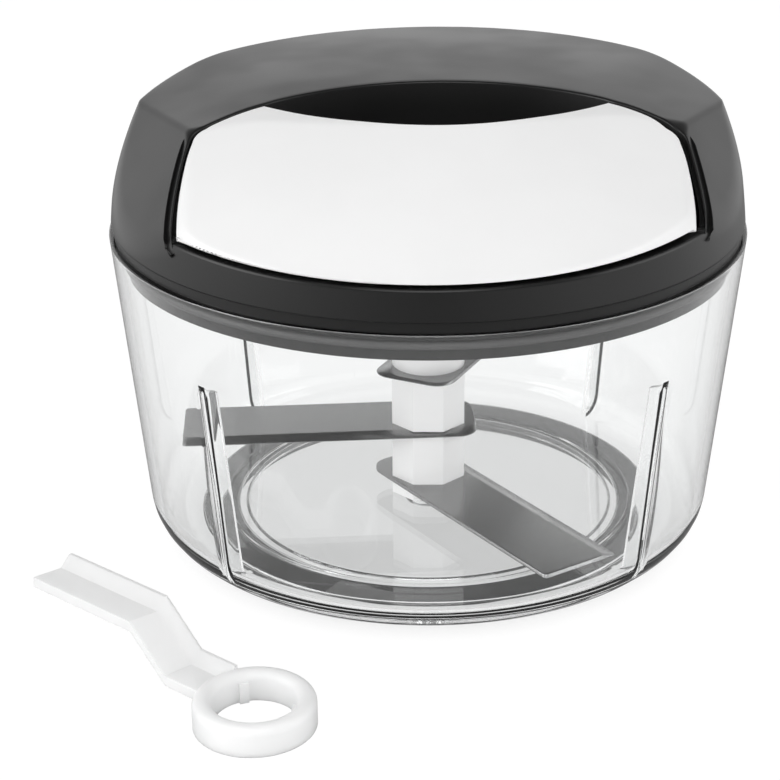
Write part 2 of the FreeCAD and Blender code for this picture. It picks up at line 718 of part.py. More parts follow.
def recoil_spring():
    """Flat strip wound from the arbor to the wall of the spring cavity, in half turns."""
    inner = ARBOR_RADIUS + RUN_GAP
    outer = SPRING_CAVITY_RADIUS - RUN_GAP - SPRING_STRIP
    halves = 2 * SPRING_TURNS
    grow = (outer - inner) / (halves - 1) / 2
    low = ARBOR_BOTTOM + SLIDE_GAP
    outside, inside = [], []
    centre, radius, sign = 0.0, inner, 1
    for _ in range(halves):
        for wires, r in ((inside, radius), (outside, radius + SPRING_STRIP)):
            wires.append(Part.Arc(V(centre - sign * r, 0, low), V(centre, -sign * r, low),
                                  V(centre + sign * r, 0, low)).toShape())
        centre += sign * -grow
        radius += grow
        sign = -sign
    return spring_solid(inside, outside)


def spring_solid(inside, outside):
    """Strip between two chains of arcs, closed at both ends."""
    start = Part.makeLine(inside[0].Vertexes[0].Point, outside[0].Vertexes[0].Point)
    finish = Part.makeLine(inside[-1].Vertexes[-1].Point, outside[-1].Vertexes[-1].Point)
    wire = Part.Wire(Part.__sortEdges__(inside + outside + [start, finish]))
    return Part.Face(wire).extrude(V(0, 0, SPRING_WIDTH))


def pull_cord():
    """Last half turn on the drum, the run off it, a bend inside the lid and the eyelet's run."""
    angle, leave = winding_exit()
    before = angle + math.radians(LAST_TURN_ANGLE)
    half_way = (angle + before) / 2
    a = V(WINDING_RADIUS * math.cos(before), WINDING_RADIUS * math.sin(before), CORD_Z)
    m = V(WINDING_RADIUS * math.cos(half_way), WINDING_RADIUS * math.sin(half_way), CORD_Z)
    b = V(0, CORD_BEND_Y, CORD_Z)
    c = V(0, knot_rear(), CORD_Z)
    first = (b - leave).normalize()
    second = (c - b).normalize()
    turn = first.getAngle(second)
    back = CORD_BEND_RADIUS * math.tan(turn / 2)
    p, q = b - first * back, b + second * back
    inward = (second - first).normalize()
    centre = b + inward * (CORD_BEND_RADIUS / math.cos(turn / 2))
    path = Part.Wire([
        Part.Arc(a, m, leave).toShape(),
        Part.makeLine(leave, p),
        Part.Arc(p, centre - inward * CORD_BEND_RADIUS, q).toShape(),
        Part.makeLine(q, c),
    ])
    along = V(math.sin(before), -math.cos(before), 0)
    ring = Part.Wire([Part.makeCircle(CORD_DIAMETER / 2, a, along)])
    return path.makePipeShell([ring], True, True)


def knot_rear():
    return CUP_REAR_Y - CUP_WALL - PRESS_GAP


def cord_eyelet():
    """Flanged bush with bell mouths, pressed into the wall of the turret."""
    flare = EYELET_BELL
    length = POCKET_WALL + EYELET_FLANGE + EYELET_BELL
    eyelet = turned(
        (EYELET_BORE + flare, 0),
        (EYELET_RADIUS, 0),
        (EYELET_RADIUS, length - EYELET_FLANGE),
        (EYELET_FLANGE_RADIUS, length - EYELET_FLANGE),
        (EYELET_FLANGE_RADIUS, length),
        (EYELET_BORE + flare, length),
        (EYELET_BORE, length - flare),
        (EYELET_BORE, flare),
    )
    eyelet.rotate(V(0, 0, 0), V(1, 0, 0), 90)
    eyelet.translate(V(0, length - EYELET_FLANGE - TURRET_RADIUS, CORD_Z))
    return eyelet


# Dome, pocket and handle

CLEAR_TOP = CROWN_TOP + PAST    # over everything


def dome_radius(z, inset=0.0):
    """Radius of the dome's wall at a height, on the arc through its three named radii."""
    part = (z - FLANGE_TOP) / DOME_WALL_HEIGHT
    straight = DOME_FOOT_RADIUS + (DOME_TOP_RADIUS - DOME_FOOT_RADIUS) * part
    hollow = (DOME_FOOT_RADIUS + DOME_TOP_RADIUS) / 2 - DOME_MIDDLE_RADIUS
    return straight - 4 * hollow * part * (1 - part) - inset


def front_form(inset):
    """Ring-shaped solid whose outer side is the front facet."""
    slope = math.radians(FRONT_SLOPE)
    x, y, z = FRONT_POINT
    axis = V(x, y + FRONT_LENGTH_RADIUS * math.sin(slope), z - FRONT_LENGTH_RADIUS * math.cos(slope))
    big = FRONT_LENGTH_RADIUS - FRONT_CROSS_RADIUS
    return Part.makeTorus(big, FRONT_CROSS_RADIUS - inset, axis, V(1, 0, 0))


def crown_form(inset):
    """Large ball under the top facet, turned so that its seam is underneath."""
    ball = Part.makeSphere(CROWN_RADIUS - inset)
    ball.rotate(V(0, 0, 0), V(0, 1, 0), 90)
    ball.translate(V(0, CROWN_BACK, CROWN_TOP - CROWN_RADIUS))
    return ball


def facet(point, azimuth, elevation, inset):
    normal = facing(azimuth, elevation)
    return below(V(*point) - normal * inset, normal)


def dome(inset, foot=FLANGE_TOP):
    """The lid's outer form, drawn in by a wall, without the front facet. foot may lie lower."""
    top = FLANGE_TOP + DOME_WALL_HEIGHT
    middle = (FLANGE_TOP + top) / 2
    low = dome_radius(FLANGE_TOP, inset)
    form = turned(
        (0, foot),
        (low, foot),
        (low, FLANGE_TOP),
        ((dome_radius(middle, inset), middle), (dome_radius(top, inset), top)),
        (0, top),
    )
    form = form.common(crown_form(inset))
    side = facet(SIDE_POINT, SIDE_AZIMUTH, SIDE_ELEVATION, inset)
    rear = facet(REAR_POINT, REAR_AZIMUTH, REAR_ELEVATION, inset)
    for cutter in (side, mirrored(side), rear, mirrored(rear)):
        form = form.common(cutter)
    return form


def handle_plan(grow, sink):
    """Handle in plan, larger by grow, with its hollow rear edge."""
    x = HANDLE_CENTRE
    front = HANDLE_FRONT_HALF + grow
    shoulder = HANDLE_SHOULDER_HALF + grow
    corner = HANDLE_CORNER_HALF + grow * CORNER_SPREAD
    return [
        (x - front, -LID_FRONT_RADIUS - sink),
        (x + front, -LID_FRONT_RADIUS - sink),
        (x + shoulder, HANDLE_SHOULDER_Y + grow * SHOULDER_SPREAD),
        (x + corner, HANDLE_CORNER_Y + grow),
        ((x, HANDLE_REAR_Y + grow), (x - corner, HANDLE_CORNER_Y + grow)),
        (x - shoulder, HANDLE_SHOULDER_Y + grow * SHOULDER_SPREAD),
    ]


def pocket_plan(grow):
    """Pocket in plan: the handle's outline, with the finger recess behind it."""
    x = POCKET_CENTRE
    front = POCKET_FRONT_HALF + grow
    shoulder = POCKET_SHOULDER_HALF + grow
    corner = HANDLE_CORNER_HALF + (POCKET_GAP + grow) * CORNER_SPREAD
    corner_y = HANDLE_CORNER_Y + POCKET_GAP + grow
    shoulder_y = HANDLE_SHOULDER_Y + (POCKET_GAP + grow) * SHOULDER_SPREAD
    return [
        (x - front, -DOME_FOOT_RADIUS - PAST),
        (x + front, -DOME_FOOT_RADIUS - PAST),
        (x + shoulder, shoulder_y),
        (x + corner, corner_y),
        ((x, RECESS_REAR_Y + grow), (x - corner, corner_y)),
        (x - shoulder, shoulder_y),
    ]


def above_slope(z, slope):
    """Half-space over a plane that rises towards the back from the lid's front edge."""
    angle = math.atan(slope)
    normal = V(0, math.sin(angle), -math.cos(angle))
    return below((0, -LID_FRONT_RADIUS, z), normal)


def pocket_space():
    """Room of the handle: over the turret and round it, and out to the front over the shelf."""
    plan = prism(pocket_plan(0), POCKET_FLOOR, CLEAR_TOP)
    behind_shelf = cylinder(dome_radius(SHELF_FRONT_Z, SHELF_WIDTH), POCKET_FLOOR, CLEAR_TOP)
    over_shelf = plan.common(above_slope(SHELF_FRONT_Z, SHELF_SLOPE))
    turret = cylinder(TURRET_RADIUS, POCKET_FLOOR - PAST, TURRET_TOP)
    return plan.common(behind_shelf).fuse(over_shelf).cut(turret).removeSplitter()


def pocket_lining():
    """Block round the pocket, hollow under the turret for the mechanism."""
    low = POCKET_FLOOR - POCKET_WALL
    block = prism(pocket_plan(POCKET_WALL), low, CLEAR_TOP)
    return block.cut(cylinder(TURRET_RADIUS - POCKET_WALL, low - PAST, TURRET_TOP - POCKET_WALL))


def top_shell():
    """Faceted dome over the lid, with the handle's pocket sunk into its front."""
    outer = dome(0)
    hull = rounded(outer, REAR_CREASE_ROUND, dome_face, ("crown",), ("rear",))
    hull = rounded(hull, SIDE_CREASE_ROUND, dome_face, ("side",), ("rear",))
    hull = rounded(hull, DOME_EDGE_ROUND, dome_face, ("wall",), ("crown", "rear", "side", "round"))
    front = front_form(0)
    hull = hull.common(front)
    lining = pocket_lining().common(outer).common(front)
    bosses = [cylinder(SHELL_BOSS_RADIUS, LID_FLOOR_TOP, CROWN_TOP, x, y)
              for x, y in SHELL_SCREW_PLACES]
    posts = bosses[0].fuse(bosses[1:]).common(dome(SHELL_WALL / 2, LID_FLOOR_TOP))
    posts = posts.common(front_form(SHELL_WALL / 2))
    shell = hull.cut(dome(SHELL_WALL, LID_FLOOR_TOP).common(front_form(SHELL_WALL)))
    shell = shell.fuse([lining, posts]).cut(pocket_space())
    hole = Part.makeCylinder(EYELET_RADIUS + PRESS_GAP, POCKET_WALL + 2 * PAST,
                             V(0, POCKET_WALL - TURRET_RADIUS + PAST, CORD_Z), V(0, -1, 0))
    shell = shell.cut(hole)
    for x, y in SHELL_SCREW_PLACES:
        shell = shell.cut(cylinder(SCREW_RADIUS + PRESS_GAP, LID_FLOOR_TOP - PAST,
                                   SHELL_SCREW_SEAT + SCREW_LENGTH + RUN_GAP, x, y))
    return shell.removeSplitter()


def dome_face(face):
    """Which part of the dome a face belongs to."""
    surface = face.Surface
    if isinstance(surface, Part.Sphere):
        return "crown"
    if isinstance(surface, Part.Plane):
        lean = math.degrees(math.asin(min(1.0, abs(surface.Axis.z))))
        if abs(lean - REAR_ELEVATION) < 0.5:
            return "rear"
        return "side" if abs(lean - SIDE_ELEVATION) < 0.5 else "foot"
    if isinstance(surface, (Part.SurfaceOfRevolution, Part.Cone, Part.Toroid)):
        spread = face.BoundBox
        return "wall" if spread.XLength > DOME_TOP_RADIUS else "round"
    return "round"


def handle_cover():
    """Thin shell under the front facet, with a skirt round it and a grip edge at the back."""
    plan = prism(handle_plan(0, 0), HANDLE_FOOT_Z - PAST, CLEAR_TOP)
    form = dome(HANDLE_SINK).common(front_form(HANDLE_SINK)).common(plan)
    form = form.common(above_slope(HANDLE_FOOT_Z, HANDLE_FOOT_SLOPE))
    form = form.cut(cylinder(TURRET_RADIUS + HANDLE_OVER_TURRET, 0, TURRET_TOP + HANDLE_OVER_TURRET))
    room = prism(handle_plan(-HANDLE_SKIRT, -HANDLE_SKIRT), HANDLE_FOOT_Z - PAST, CLEAR_TOP)
    room = room.common(front_form(HANDLE_SINK + HANDLE_WALL))
    room = room.common(dome(HANDLE_SINK + HANDLE_WALL))
    cover = form.cut(room)
    for x in handle_screw_places():
        boss = cylinder(HANDLE_BOSS_RADIUS, HANDLE_FOOT_Z, CLEAR_TOP, x, HANDLE_SCREW_Y)
        boss = boss.common(front_form(HANDLE_SINK + HANDLE_WALL / 2))
        boss = boss.common(above_slope(HANDLE_FOOT_Z + LINER_RISE + 2 * PRESS_GAP, HANDLE_FOOT_SLOPE))
        cover = cover.fuse(boss).cut(cylinder(SCREW_RADIUS + PRESS_GAP, CUP_BOTTOM,
                                              handle_screw_tip(), x, HANDLE_SCREW_Y))
    return cover.removeSplitter()


LINER_RISE = LINER_THICKNESS / math.cos(math.atan(HANDLE_FOOT_SLOPE))


def liner_z(y):
    """Underside of the liner, on the handle's foot plane."""
    return HANDLE_FOOT_Z + HANDLE_FOOT_SLOPE * (y + LID_FRONT_RADIUS) + PRESS_GAP


def handle_screw_places():
    return HANDLE_CENTRE - HANDLE_SCREW_SPREAD, HANDLE_CENTRE + HANDLE_SCREW_SPREAD


def handle_screw_tip():
    return liner_z(HANDLE_SCREW_Y) + HANDLE_SCREW_REACH


def handle_liner():
    """Plate under the handle with the cup that traps the knot."""
    x0, x1 = HANDLE_CENTRE - LINER_HALF, HANDLE_CENTRE + LINER_HALF
    side = [V(0, LINER_FRONT_Y, liner_z(LINER_FRONT_Y)), V(0, LINER_REAR_Y, liner_z(LINER_REAR_Y))]
    rise = V(0, 0, LINER_RISE)
    face = Part.Face(Part.makePolygon([side[0], side[1], side[1] + rise, side[0] + rise, side[0]]))
    face.translate(V(x0, 0, 0))
    plate = face.extrude(V(x1 - x0, 0, 0))
    outside = CUP_HALF + CUP_WALL
    length = KNOT_LENGTH + 2 * CUP_WALL + 2 * SLIDE_GAP
    top = liner_z(CUP_REAR_Y) + LINER_THICKNESS
    block = Part.makeBox(2 * outside, length, top - CUP_BOTTOM,
                         V(-outside, CUP_REAR_Y - length, CUP_BOTTOM))
    room = Part.makeBox(2 * CUP_HALF, length - 2 * CUP_WALL, top,
                        V(-CUP_HALF, CUP_REAR_Y - length + CUP_WALL, CUP_BOTTOM + CUP_FLOOR))
    start = LINER_REAR_Y + PAST
    hole = Part.makeCylinder(CORD_DIAMETER / 2 + PRESS_GAP, start - CUP_REAR_Y + CUP_WALL + PAST,
                             V(0, start, CORD_Z), V(0, -1, 0))
    inside = front_form(HANDLE_SINK + HANDLE_WALL + PRESS_GAP)
    liner = plate.common(inside).fuse(block.common(inside)).cut(room).cut(hole)
    for x in handle_screw_places():
        liner = liner.cut(cylinder(SCREW_RADIUS + PRESS_GAP, CUP_BOTTOM, CROWN_TOP, x, HANDLE_SCREW_Y))
        head = cylinder(SCREW_HEAD_RADIUS + PRESS_GAP, CUP_BOTTOM,
                        liner_z(HANDLE_SCREW_Y) + LINER_THICKNESS / 2, x, HANDLE_SCREW_Y)
        liner = liner.cut(head)
    return liner.removeSplitter()


def cord_knot():
    """Overhand knot as a rounded barrel behind the cup's rear wall."""
    r, c = KNOT_RADIUS, KNOT_RADIUS * 0.4
    knot = turned(
        (0, 0), (r - c, 0), (r, c), (r, KNOT_LENGTH - c), (r - c, KNOT_LENGTH), (0, KNOT_LENGTH),
    )
    knot.rotate(V(0, 0, 0), V(1, 0, 0), 90)
    knot.translate(V(0, knot_rear(), CORD_Z))
    return knot


def handle_screws():
    seat = liner_z(HANDLE_SCREW_Y) + LINER_THICKNESS / 2
    length = handle_screw_tip() - RUN_GAP - seat
    items = []
    for x in handle_screw_places():
        head = cylinder(SCREW_HEAD_RADIUS, seat - HANDLE_SCREW_HEAD, seat, x, HANDLE_SCREW_Y)
        items.append(head.fuse(cylinder(SCREW_RADIUS, seat, seat + length, x, HANDLE_SCREW_Y)))
    return Part.makeCompound(items)


def top_shell_screws():
    return Part.makeCompound([screw(x, y, SHELL_SCREW_SEAT, SCREW_LENGTH, True)
                              for x, y in SHELL_SCREW_PLACES])


def cover_screws():
    seat = COVER_BOSS_TOP + COVER_EAR_THICKNESS
    length = seat - LID_FLOOR_TOP - SLIDE_GAP
    return Part.makeCompound([screw(x, y, seat, length, False) for x, y in COVER_SCREW_PLACES])


# Stirring arm

def arm_section(along, top, thickness):
    """Cross-section of the arm: a shallow trough with a raised rail on its far side."""
    rail = ARM_HALF + ARM_RAIL_WIDTH
    return Part.makePolygon([
        V(along, ARM_HALF, top),
        V(along, -ARM_HALF / 2, top - ARM_HOLLOW),
        V(along, -ARM_HALF, top + ARM_RAIL),
        V(along, -rail, top + ARM_RAIL),
        V(along, -rail, top - thickness),
        V(along, ARM_HALF, top - thickness),
        V(along, ARM_HALF, top),
    ])


def stirring_arm():
    """Clip ring with a flat neck, a ramp and the flat arm, lying on the table."""
    c, h, r, b = ARM_RING_ROUND, ARM_RING_HEIGHT, ARM_RING_RADIUS, ARM_RING_BORE
    k = c * (1 - math.sqrt(0.5))
    ring = turned(
        (b, 0),
        (r, 0),
        (r, h - c),
        ((r - k, h - k), (r - c, h)),
        (b + c, h),
        ((b + k, h - k), (b, h - c)),
    )
    places = ((b + c, ARM_NECK_TOP), (ARM_NECK_END, ARM_NECK_TOP),
              (ARM_RAMP_END, ARM_TOP), (ARM_END, ARM_TOP))
    wires = [arm_section(along, top, ARM_THICKNESS + ARM_HOLLOW) for along, top in places]
    arm = Part.makeLoft(wires, True, True)
    arm = arm.cut(cylinder(r - c, -PAST, h + PAST))
    whole = ring.fuse(arm)
    for angle in ARM_KEY_ANGLES:
        key = Part.makeBox(ARM_KEY_DEPTH + PAST, ARM_KEY_WIDTH, h - c,
                           V(b - ARM_KEY_DEPTH, -ARM_KEY_WIDTH / 2, 0))
        whole = whole.fuse(spun(key, angle - ARM_ANGLE))
    whole = spun(whole.removeSplitter(), ARM_ANGLE)
    whole.translate(V(ARM_RING_CENTRE[0], ARM_RING_CENTRE[1], 0))
    return whole


def blade_pieces():
    """The insert from the floor upwards."""
    heights = (LOWER_BLADE_Z, MIDDLE_BLADE_Z, UPPER_BLADE_Z)
    names = ("lower", "middle", "upper")
    pieces = {"foot_hub": foot_hub(), "core_shaft": core_shaft(), "drive_head": drive_head()}
    for k, (name, z) in enumerate(zip(names, heights)):
        pieces[name + "_blade"] = blade(z, LOWER_BLADE_ANGLE - BLADE_STEP_ANGLE * k)
        if name != "upper":
            pieces[name + "_spacer"] = column_piece(z + BLADE_THICKNESS, heights[k + 1])
    return pieces


def all_parts():
    parts = {
        "bowl": bowl(),
        "foot_ring": foot_ring(),
        "pivot_pin": pivot_pin(),
        "pin_cap": pin_cap(),
        "lid_base": lid_base(),
        "seal_ring": seal_ring(),
        "hub_bush": hub_bush(),
        "top_shell": top_shell(),
        "mechanism_cover": mechanism_cover(),
        "recoil_spring": recoil_spring(),
        "cord_eyelet": cord_eyelet(),
        "pull_cord": pull_cord(),
        "top_shell_screws": top_shell_screws(),
        "cover_screws": cover_screws(),
        "drive_socket": drive_socket(),
        "cord_drum": cord_drum(),
        "drum_screw": drum_screw(),
        "cord_winding": cord_winding(),
        "handle_cover": handle_cover(),
        "handle_liner": handle_liner(),
        "cord_knot": cord_knot(),
        "handle_screws": handle_screws(),
        "stirring_arm": stirring_arm(),
    }
    parts.update(blade_pieces())
    return parts


os.makedirs("parts", exist_ok=True)
for name, shape in all_parts().items():
    shape.exportStep("parts/" + name + ".step")
    box = shape.BoundBox
    print(name, len(shape.Solids), "valid" if shape.isValid() else "INVALID",
          round(shape.Volume), [round(v, 2) for v in (box.XMin, box.YMin, box.ZMin)],
          [round(v, 2) for v in (box.XMax, box.YMax, box.ZMax)])
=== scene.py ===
# %% [markdown]
# # Pull-string food chopper
# A clear tub with a column of blades stands under a dark lid. The lid hides a drum of cord, and the
# white handle in its front draws that cord out, which spins the blades. The engineering model gives
# every piece its size and place. Here the pieces that show get smooth surfaces and real finishes.

# %% Frame
import json
import math
import bmesh
import bpy
import numpy as np
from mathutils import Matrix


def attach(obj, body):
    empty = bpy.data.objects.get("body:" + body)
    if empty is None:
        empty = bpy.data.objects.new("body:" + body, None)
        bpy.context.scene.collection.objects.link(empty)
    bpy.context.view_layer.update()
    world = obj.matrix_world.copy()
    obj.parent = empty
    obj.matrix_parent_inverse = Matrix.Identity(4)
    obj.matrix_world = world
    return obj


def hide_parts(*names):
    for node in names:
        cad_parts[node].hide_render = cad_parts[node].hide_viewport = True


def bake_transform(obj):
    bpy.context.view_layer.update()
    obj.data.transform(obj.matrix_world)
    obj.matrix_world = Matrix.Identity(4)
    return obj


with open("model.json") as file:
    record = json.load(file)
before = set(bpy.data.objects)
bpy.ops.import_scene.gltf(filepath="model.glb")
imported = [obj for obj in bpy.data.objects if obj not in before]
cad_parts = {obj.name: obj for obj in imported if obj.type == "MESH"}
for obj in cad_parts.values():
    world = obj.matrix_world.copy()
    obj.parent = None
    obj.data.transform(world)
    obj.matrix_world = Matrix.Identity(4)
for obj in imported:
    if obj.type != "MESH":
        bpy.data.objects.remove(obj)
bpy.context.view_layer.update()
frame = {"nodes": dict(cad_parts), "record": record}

# %% [markdown]
# ## Camera
# The photograph looks down on the lid from the front at about 24 degrees. The camera stands half a
# metre away, and a small shift puts the object right of the middle as it is there.

# %% Camera
MM = 0.001
CAMERA_PLACE = (0.7, -499.0, 253.0)
CAMERA_PITCH = 23.62
CAMERA_LENS = 97.2
CAMERA_SHIFT = -0.0526

camera_data = bpy.data.cameras.new("camera")
camera_data.lens = CAMERA_LENS
camera_data.shift_x = CAMERA_SHIFT
camera_data.clip_start = 10 * MM
camera = bpy.data.objects.new("camera", camera_data)
camera.location = [value * MM for value in CAMERA_PLACE]
camera.rotation_euler = (math.radians(90 - CAMERA_PITCH), 0, 0)
bpy.context.scene.collection.objects.link(camera)
bpy.context.scene.camera = camera
bpy.context.scene.view_settings.view_transform = "Standard"
print("camera looks down", CAMERA_PITCH, "degrees")

# %% [markdown]
# ## Writing materials as arithmetic
# A material is a small network of nodes. Wiring it by hand hides the idea, so a Wire stands for one
# output of a node: it can be multiplied, compared and turned into a smooth step. Finish holds one
# material, and its node method makes any other node: first its settings, then the values or wires of
# its sockets.

# %% Wires and finishes
class Wire:
    """One output of a node. Arithmetic on it adds Math nodes."""

    def __init__(self, finish, socket):
        self.finish, self.socket = finish, socket

    def maths(self, operation, first, second=0.0):
        return self.finish.node("ShaderNodeMath", {"operation": operation}, {0: first, 1: second})

    def __mul__(self, other):
        return self.maths("MULTIPLY", self, other)

    __rmul__ = __mul__

    def over(self, edge):
        return self.maths("GREATER_THAN", self, edge)

    def at_least(self, other):
        return self.maths("MAXIMUM", self, other)

    def size(self):
        return self.maths("ABSOLUTE", self)

    def ramp(self, low, high, to_low=0.0, to_high=1.0):
        """Smooth step from to_low to to_high while the value goes from low to high."""
        values = {"From Min": low, "From Max": high, "To Min": to_low, "To Max": to_high, "Value": self}
        return self.finish.node("ShaderNodeMapRange", {"interpolation_type": "SMOOTHSTEP"}, values)


class Finish:
    """One material, or the world, with the calls that fill its node tree."""

    def __init__(self, name, owner=None):
        self.owner = owner or bpy.data.materials.new(name)
        self.owner.use_nodes = True
        self.tree = self.owner.node_tree
        self.tree.nodes.clear()

    def node(self, kind, settings=None, values=None, output=0):
        made = self.tree.nodes.new(kind)
        for key, value in (settings or {}).items():
            setattr(made, key, value)
        for key, value in (values or {}).items():
            if isinstance(value, Wire):
                self.tree.links.new(value.socket, made.inputs[key])
            else:
                made.inputs[key].default_value = value
        return Wire(self, made.outputs[output])

    def place(self, scale=(1, 1, 1)):
        """Object coordinates in metres, stretched by scale. The world has directions there."""
        seen = self.node("ShaderNodeTexCoord", output="Object")
        return self.node("ShaderNodeMapping", None, {"Vector": seen, "Scale": scale})

    def along(self, axis):
        """One coordinate of the place, by its letter."""
        return self.node("ShaderNodeSeparateXYZ", None, {"Vector": self.place()}, output=axis)

    def noise(self, scale, detail=2.0, where=None):
        values = {"Scale": scale, "Detail": detail, "Vector": where or self.place()}
        return self.node("ShaderNodeTexNoise", None, values)

    def colours(self, share, first, second):
        """Mix of two colours, by a share from 0 to 1."""
        values = {"Factor": share, "A": first, "B": second}
        return self.node("ShaderNodeMix", {"data_type": "RGBA"}, values, output="Result")

    def mixed(self, share, first, second):
        """Shader that goes from first to second while share goes from 0 to 1."""
        return self.node("ShaderNodeMixShader", None, {0: share, 1: first, 2: second})

    def bump(self, height, depth):
        """Normal of a surface whose height goes from 0 to 1 over depth, in millimetres."""
        values = {"Height": height, "Distance": depth * MM}
        return self.node("ShaderNodeBump", None, values, output="Normal")

    def plastic(self, colour, roughness, **more):
        """The one physical shader. Names in more have underscores for spaces."""
        values = {"Base Color": colour, "Roughness": roughness}
        values.update({key.replace("_", " "): value for key, value in more.items()})
        return self.node("ShaderNodeBsdfPrincipled", None, values)

    def seen_by(self, *kinds):
        """Above 0 for a ray of one of these kinds, 0 for all others. Transmission Depth counts the clear
        surfaces that a ray has passed."""
        path = self.tree.nodes.new("ShaderNodeLightPath")
        share = Wire(self, path.outputs[kinds[0]])
        for kind in kinds[1:]:
            share = share.at_least(Wire(self, path.outputs[kind]))
        return share

    def show(self, shader, kind="ShaderNodeOutputMaterial"):
        shown = self.tree.nodes.new(kind)
        self.tree.links.new(shader.socket, shown.inputs["Surface"])
        return self.owner


def grey(value):
    """Colour with this one value in red, green and blue."""
    return (value, value, value, 1)


print("wires and finishes are ready")

# %% [markdown]
# ## Light
# The product stands in a white studio. One white world could light everything, but it would bleach the
# dark lid and leave the white handle flat. So the room answers each kind of ray in its own way. Rays
# that come straight from the camera, or through the clear bowl, see plain white. Rays that a surface
# mirrors see a room that is white low down behind, dim above and dim in front. All other rays meet an
# even, gentle glow.

# %% World
AMBIENT = 0.5
OVERHEAD = 0.15                     # what dark plastic mirrors of the room above
AHEAD = 0.1                         # and of the room in front
RISING = (0.2, 0.55)                # where the room gets dim, as heights of a direction of length 1
COMING = (-0.4, 0.2)                # and as depths of it, from in front to behind

world = bpy.data.worlds.new("studio")
bpy.context.scene.world = world
room = Finish("studio", world)
mirrored = room.along("Z").ramp(*RISING, 1.0, OVERHEAD) * room.along("Y").ramp(*COMING, AHEAD, 1.0)
white, glow, dim = (room.node("ShaderNodeBackground", None, {"Color": grey(1.0), "Strength": strength})
                    for strength in (1.0, AMBIENT, mirrored))
soft = room.mixed(room.seen_by("Is Glossy Ray").over(0.5), glow, dim)
direct = room.seen_by("Is Camera Ray", "Transmission Depth").over(0.5)
room.show(room.mixed(direct, soft, white), "ShaderNodeOutputWorld")
print("room glows at", AMBIENT)

# %% [markdown]
# ## Floor
# A white floor in the photograph runs into the white background without a line. A plain white one
# would be shaded by the lamps. Here it shines by itself for the camera, a little over white, so that
# the clear bowl in front of it stays bright. Only some of its own shading shows: more of it under the
# bowl, less around it. Its glow is weaker under the bowl, which paints shade there on top of the real
# shadow. In a mirroring surface it is dim in front and bright at the sides.

# %% Floor
FLOOR_GLOW = 0.9                    # share of the floor that is plain white, away from the bowl
# Under the bowl the floor glows less: painted shade that darkens it there, on top of the real shadow in its
# own shading.
UNDER_GLOW = 0.5                    # and under it
BOWL_EDGE = (56.0, 72.0)            # from one to the other between these radii
FLOOR_WHITE = 1.06
FRONT_MIRRORED = 0.3                # what dark plastic mirrors of the floor in front
SIDE_MIRRORED = 1.0                 # and of the floor at either side
FLOOR_SIDES = (100.0, 500.0)        # from one to the other between these distances to the side
FLOOR_SIZE = 6000.0

finish = Finish("floor_white")
sides = [side * MM for side in FLOOR_SIDES]
mirrored = finish.along("X").size().ramp(*sides, FRONT_MIRRORED, SIDE_MIRRORED)
bright, dim = (finish.node("ShaderNodeEmission", None, {"Color": grey(1.0), "Strength": strength})
               for strength in (FLOOR_WHITE, mirrored))
matt = finish.node("ShaderNodeBsdfDiffuse", None, {"Color": grey(0.9)})
lower = finish.mixed(finish.seen_by("Is Glossy Ray").over(0.5), matt, dim)
away = finish.node("ShaderNodeVectorMath", {"operation": "LENGTH"}, {0: finish.place()}, output="Value")
# The glow drops from FLOOR_GLOW to UNDER_GLOW towards the bowl: painted shade under the bowl.
share = away.ramp(*[radius * MM for radius in BOWL_EDGE], UNDER_GLOW, FLOOR_GLOW)
share = finish.seen_by("Is Camera Ray", "Transmission Depth").over(0.5) * share

half = FLOOR_SIZE * MM / 2
corners = [(-half, -half, 0), (half, -half, 0), (half, half, 0), (-half, half, 0)]
floor_mesh = bpy.data.meshes.new("floor")
floor_mesh.from_pydata(corners, [], [(0, 1, 2, 3)])
floor = bpy.data.objects.new("floor", floor_mesh)
floor.data.materials.append(finish.show(finish.mixed(share, lower, bright)))
bpy.context.scene.collection.objects.link(floor)
print("floor is", FLOOR_SIZE, "mm wide")

# %% [markdown]
# ## Lamps
# Four square lamps model the forms: one above the front, one at each side, and a low one in front that
# brightens the lid's skirt. The low one would show as a streak in dark plastic, so no surface mirrors it.

# %% Lamps
LAMPS = {
    "front_lamp": ((0, -520, 620), 1.25),
    "low_lamp": ((0, -620, 170), 0.75),
    "left_lamp": ((-570, -230, 320), 1.6),
    "right_lamp": ((560, -120, 360), 0.9),
}
LAMP_SIZE = 420.0
AIM = np.array((0.0, -10.0, 60.0))

for name, (place, power) in LAMPS.items():
    lamp = bpy.data.lights.new(name, "AREA")
    lamp.size = LAMP_SIZE * MM
    lamp.energy = power
    holder = bpy.data.objects.new(name, lamp)
    holder.location = [value * MM for value in place]
    towards = AIM - np.array(place)
    tilt = math.atan2(math.hypot(towards[0], towards[1]), -towards[2])
    holder.rotation_euler = (tilt, 0, math.atan2(towards[1], towards[0]) - math.pi / 2)
    holder.visible_glossy = name != "low_lamp"
    bpy.context.scene.collection.objects.link(holder)
print(len(LAMPS), "lamps")

# %% [markdown]
# ## Finishes
# Each finish is a short recipe: a base colour, how rough it is, and the fine relief that the mould,
# the grinder or the loom left in it.

# %% Satin plastics
def satin(name, colour, roughness, grain, depth, specular=0.5):
    """Moulded plastic with the fine matt grain of an eroded mould."""
    finish = Finish(name)
    fine = finish.noise(grain, 3.0)
    broad = finish.noise(40.0, 2.0)
    tint = finish.colours(broad.ramp(0.3, 0.7), grey(colour * 0.99), grey(colour * 1.01))
    rough = broad.ramp(0.3, 0.7, roughness - 0.03, roughness + 0.03)
    shader = finish.plastic(tint, rough, Normal=finish.bump(fine, depth), Specular_IOR_Level=specular)
    return finish.show(shader)


